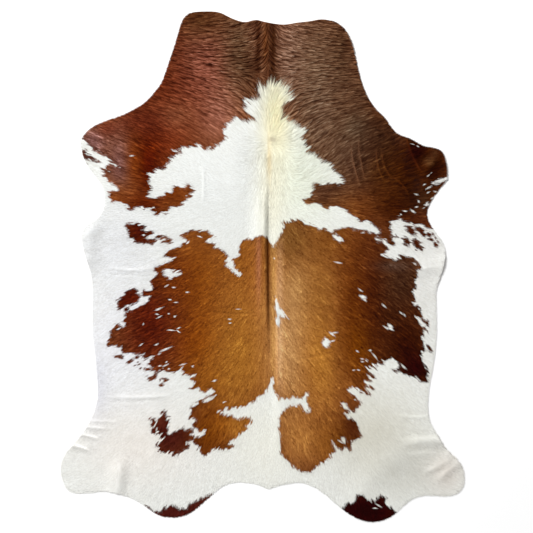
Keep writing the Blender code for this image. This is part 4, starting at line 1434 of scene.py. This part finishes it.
# painted light on the crests and painted shade in the troughs of the folds
fold_shading = read_grid(rise, shows_at)
brown_tint = shared_tint + 2.0 * own_tint + clump_shading - rim_shade + FOLD_LIGHT * fold_shading
white_tint = 0.08 * shared_tint + 0.25 * own_tint + 0.08 * clump_shading + 0.02 * fold_shading
tint = np.where(is_brown, brown_tint, white_tint)
redder = np.where(is_brown[:, None], np.array([0.85, 1.1, 1.25]), np.array([0.9, 1.0, 1.2]))
colour = np.clip(colour * np.exp(tint[:, None] * redder), DARKEST, 0.95)
print("brown locks:", int(is_brown.sum()), "white locks:", int((~is_brown).sum()))


# %% Slope of the hide
def leather_normal(points):
    """Unit normal of the hide's soft folds at each point."""
    step = 3 * MM
    slopes = [
        (lie(points + way_on) - lie(points - way_on)) / (2 * step)
        for way_on in (np.array([step, 0]), np.array([0, step]))
    ]
    return unit(np.column_stack([-slopes[0], -slopes[1], np.ones(len(points))]))


def leaning(normal, direction, share):
    """A normal tipped towards a flat direction."""
    flat = direction * np.reshape(share, (-1, 1))
    return unit(normal + np.column_stack([flat, np.zeros(len(direction))]))


steepest = math.degrees(math.acos(leather_normal(plan)[:, 2].min()))
print("steepest slope in degrees:", round(steepest, 1))

# %% Shape and shading of each lock
LIFT_RANGE = (0.6 * MM, 8 * MM)
CROSSING_LIFT = 1.2 * MM     # so that a crossing lock lies on top
raised = relief * MM * (1 - beside ** 2) * (0.6 + 0.4 * up_clump)
tip_lift = lift * MM * (1 + 0.18 * clump_lift[clump]) * (1 - 0.6 * clumping * beside)
tip_lift = np.clip(tip_lift + 0.25 * MM * dice.normal(0, 1, len(roots)), *LIFT_RANGE)
tip_lift += raised + np.where(crossing, CROSSING_LIFT, 0)
bulge = np.clip(-to_middle / CLUMP_WIDE, -1, 1) * clumping * np.where(is_brown, 1.0, 0.3)
locks = {
    "root": roots, "tip": tips, "width": width, "colour": colour, "brown": is_brown,
    "base": np.full(len(roots), -0.4 * MM),
    "ridge": (0.4 + 0.3 * dice.random(len(roots))) * MM + raised,
    "lift": tip_lift,
    "round": 0.1 + 0.25 * clumping,
    "tilt": left_of(forward) * bulge[:, None] - forward * (0.15 * clumping)[:, None],
}
print("values for each lock:", ", ".join(locks))

# %% [markdown]
# ## Flecks and spots
#
# The smallest marks are hardly wider than one lock, and the coat's own locks would miss them.
# So each mark gets thin locks of its own, laid side by side over the coat, from the middle of
# the mark to both of its ends.


# %% Thin locks for the marks
WHITE_APART = 3.7            # mm between the locks of a white fleck
BROWN_APART = 3.2            # and of a brown spot


def mark_locks(marks, brown, apart):
    """Thin locks that fill each ellipse of a list, in the coat's colour at that place."""
    middles, ends = [], []
    for x, y, long, wide, degrees in marks:
        turn = math.radians(degrees)
        axis = np.array([math.cos(turn), math.sin(turn)])
        side = np.array([-math.sin(turn), math.cos(turn)])
        columns = max(1, round(2 * wide / apart))
        for column in range(columns):
            across = ((column + 0.5) / columns * 2 - 1) * 0.85
            reach = long * math.sqrt(1 - across ** 2) * dice.uniform(0.8, 1.5)
            middle = np.array([x, y]) + side * across * wide + axis * dice.normal(0, 0.2) * long
            for way_out in (1, -1):
                middles.append(middle - way_out * axis)
                ends.append(middle + way_out * axis * reach)
    middles, ends = np.array(middles) * MM, np.array(ends) * MM
    count = len(middles)
    lift_here = pile_at(middles)[2] * MM
    tone = coat_colour(middles, np.full(count, 1.0 if brown else -1.0))
    return {
        "root": middles, "tip": ends, "width": dice.uniform(2.2, 3.1, count) * MM,
        "colour": tone * np.exp(dice.normal(0, 0.05, count))[:, None],
        "brown": np.full(count, brown),
        "base": 0.6 * lift_here, "ridge": 0.8 * lift_here + 0.5 * MM, "lift": lift_here + 0.4 * MM,
        "round": np.full(count, 0.15), "tilt": np.zeros((count, 2)),
    }


for marks, brown, apart in ((WHITE_FLECKS, False, WHITE_APART), (BROWN_SPOTS, True, BROWN_APART)):
    extra = mark_locks(marks, brown, apart)
    locks = {key: np.concatenate([locks[key], extra[key]]) for key in locks}
print("locks with the marks:", len(locks["root"]))

# %% [markdown]
# Hundreds of real hairs shade as one soft surface, while the flat faces of a spike would
# glitter. So each corner of a lock gets its own shading normal: that of the hide below it,
# tipped to the side of the clump that it lies on. The folds then show through the coat, as
# they do in the photograph.


# %% Spikes from the table of locks
RIDGE_AT = 0.3               # the ridge is highest at this share of the length


def locks_mesh(name, chosen):
    """One mesh of closed four-faced spikes for the chosen locks, with colour and layout."""
    count = len(chosen)
    part = {key: values[chosen] for key, values in locks.items()}
    root, tip = part["root"], part["tip"]
    forward = unit(tip - root)
    side = left_of(forward)
    wide = part["width"][:, None]
    ridge_at = root + (tip - root) * RIDGE_AT
    base = lie(root) + SKIN + part["base"]
    end = lie(tip) + SKIN + part["lift"]
    top = base + RIDGE_AT * (end - base) + part["ridge"]
    left = np.column_stack([root + side * wide / 2, base])
    right = np.column_stack([root - side * wide / 2, base])
    crest = np.column_stack([ridge_at, top])
    point = np.column_stack([tip, end])
    corners = np.stack([left, right, crest, point], axis=1).reshape(-1, 3)
    pattern = np.array([[0, 2, 3], [1, 3, 2], [0, 1, 2], [0, 3, 1]])
    triangles = (np.arange(count)[:, None, None] * 4 + pattern).reshape(-1, 3)
    mesh = mesh_from_arrays(name, corners, triangles)
    add_colour(mesh, "Coat colour", np.repeat(part["colour"], 4, axis=0))
    along = mesh.attributes.new("Along hair", "FLOAT", "POINT")
    along.data.foreach_set("value", np.tile(np.array([0.0, 0.0, 0.55, 1.0], dtype=np.float32), count))
    cell = 1.0 / UV_CELLS
    corner = np.column_stack([np.arange(count) % UV_CELLS, np.arange(count) // UV_CELLS]) * cell
    spot = np.array([[0.12, 0.12], [0.88, 0.12], [0.5, 0.36], [0.5, 0.88]]) * cell
    set_uv(mesh, (corner[:, None, :] + spot[None, :, :]).reshape(-1, 2)[triangles].reshape(-1, 2))
    mesh.materials.append(brown_hair)
    mesh.materials.append(white_hair)
    mesh.polygons.foreach_set("material_index", np.repeat(~part["brown"], 4).astype(np.int32))
    under = leaning(leather_normal(root), part["tilt"], np.ones(count))
    over = leaning(leather_normal(tip), part["tilt"], np.ones(count))
    shading = np.stack([
        leaning(under, side, part["round"]),
        leaning(under, side, -part["round"]),
        leaning(under, forward, np.full(count, -0.05)),
        leaning(over, forward, np.full(count, 0.05)),
    ], axis=1).reshape(-1, 3)
    mesh.polygons.foreach_set("use_smooth", np.ones(len(triangles), dtype=bool))
    mesh.normals_split_custom_set_from_vertices(shading)
    piece = bpy.data.objects.new(name, mesh)
    bpy.context.scene.collection.objects.link(piece)
    return piece


order = np.argsort(-locks["root"][:, 1])
BAND_NAMES = ("coat_neck", "coat_shoulders", "coat_back", "coat_loins", "coat_rump")
coat = []
for name, band in zip(BAND_NAMES, np.array_split(order, len(BAND_NAMES))):
    coat.append(locks_mesh(name, band))
    print(name, "locks:", len(band), "triangles:", len(coat[-1].data.polygons))

# %% [markdown]
# ## Join the frame
#
# The leather stands for the CAD solid, which is hidden. The leather and the coat ride on the
# same body.

for piece in (leather, *coat):
    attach(piece, "root")
    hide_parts("cowhide")
new_triangles = len(triangles) + sum(len(piece.data.polygons) for piece in coat)
print("new triangles in all:", new_triangles)

# %% Update the view layer
bpy.context.view_layer.update()
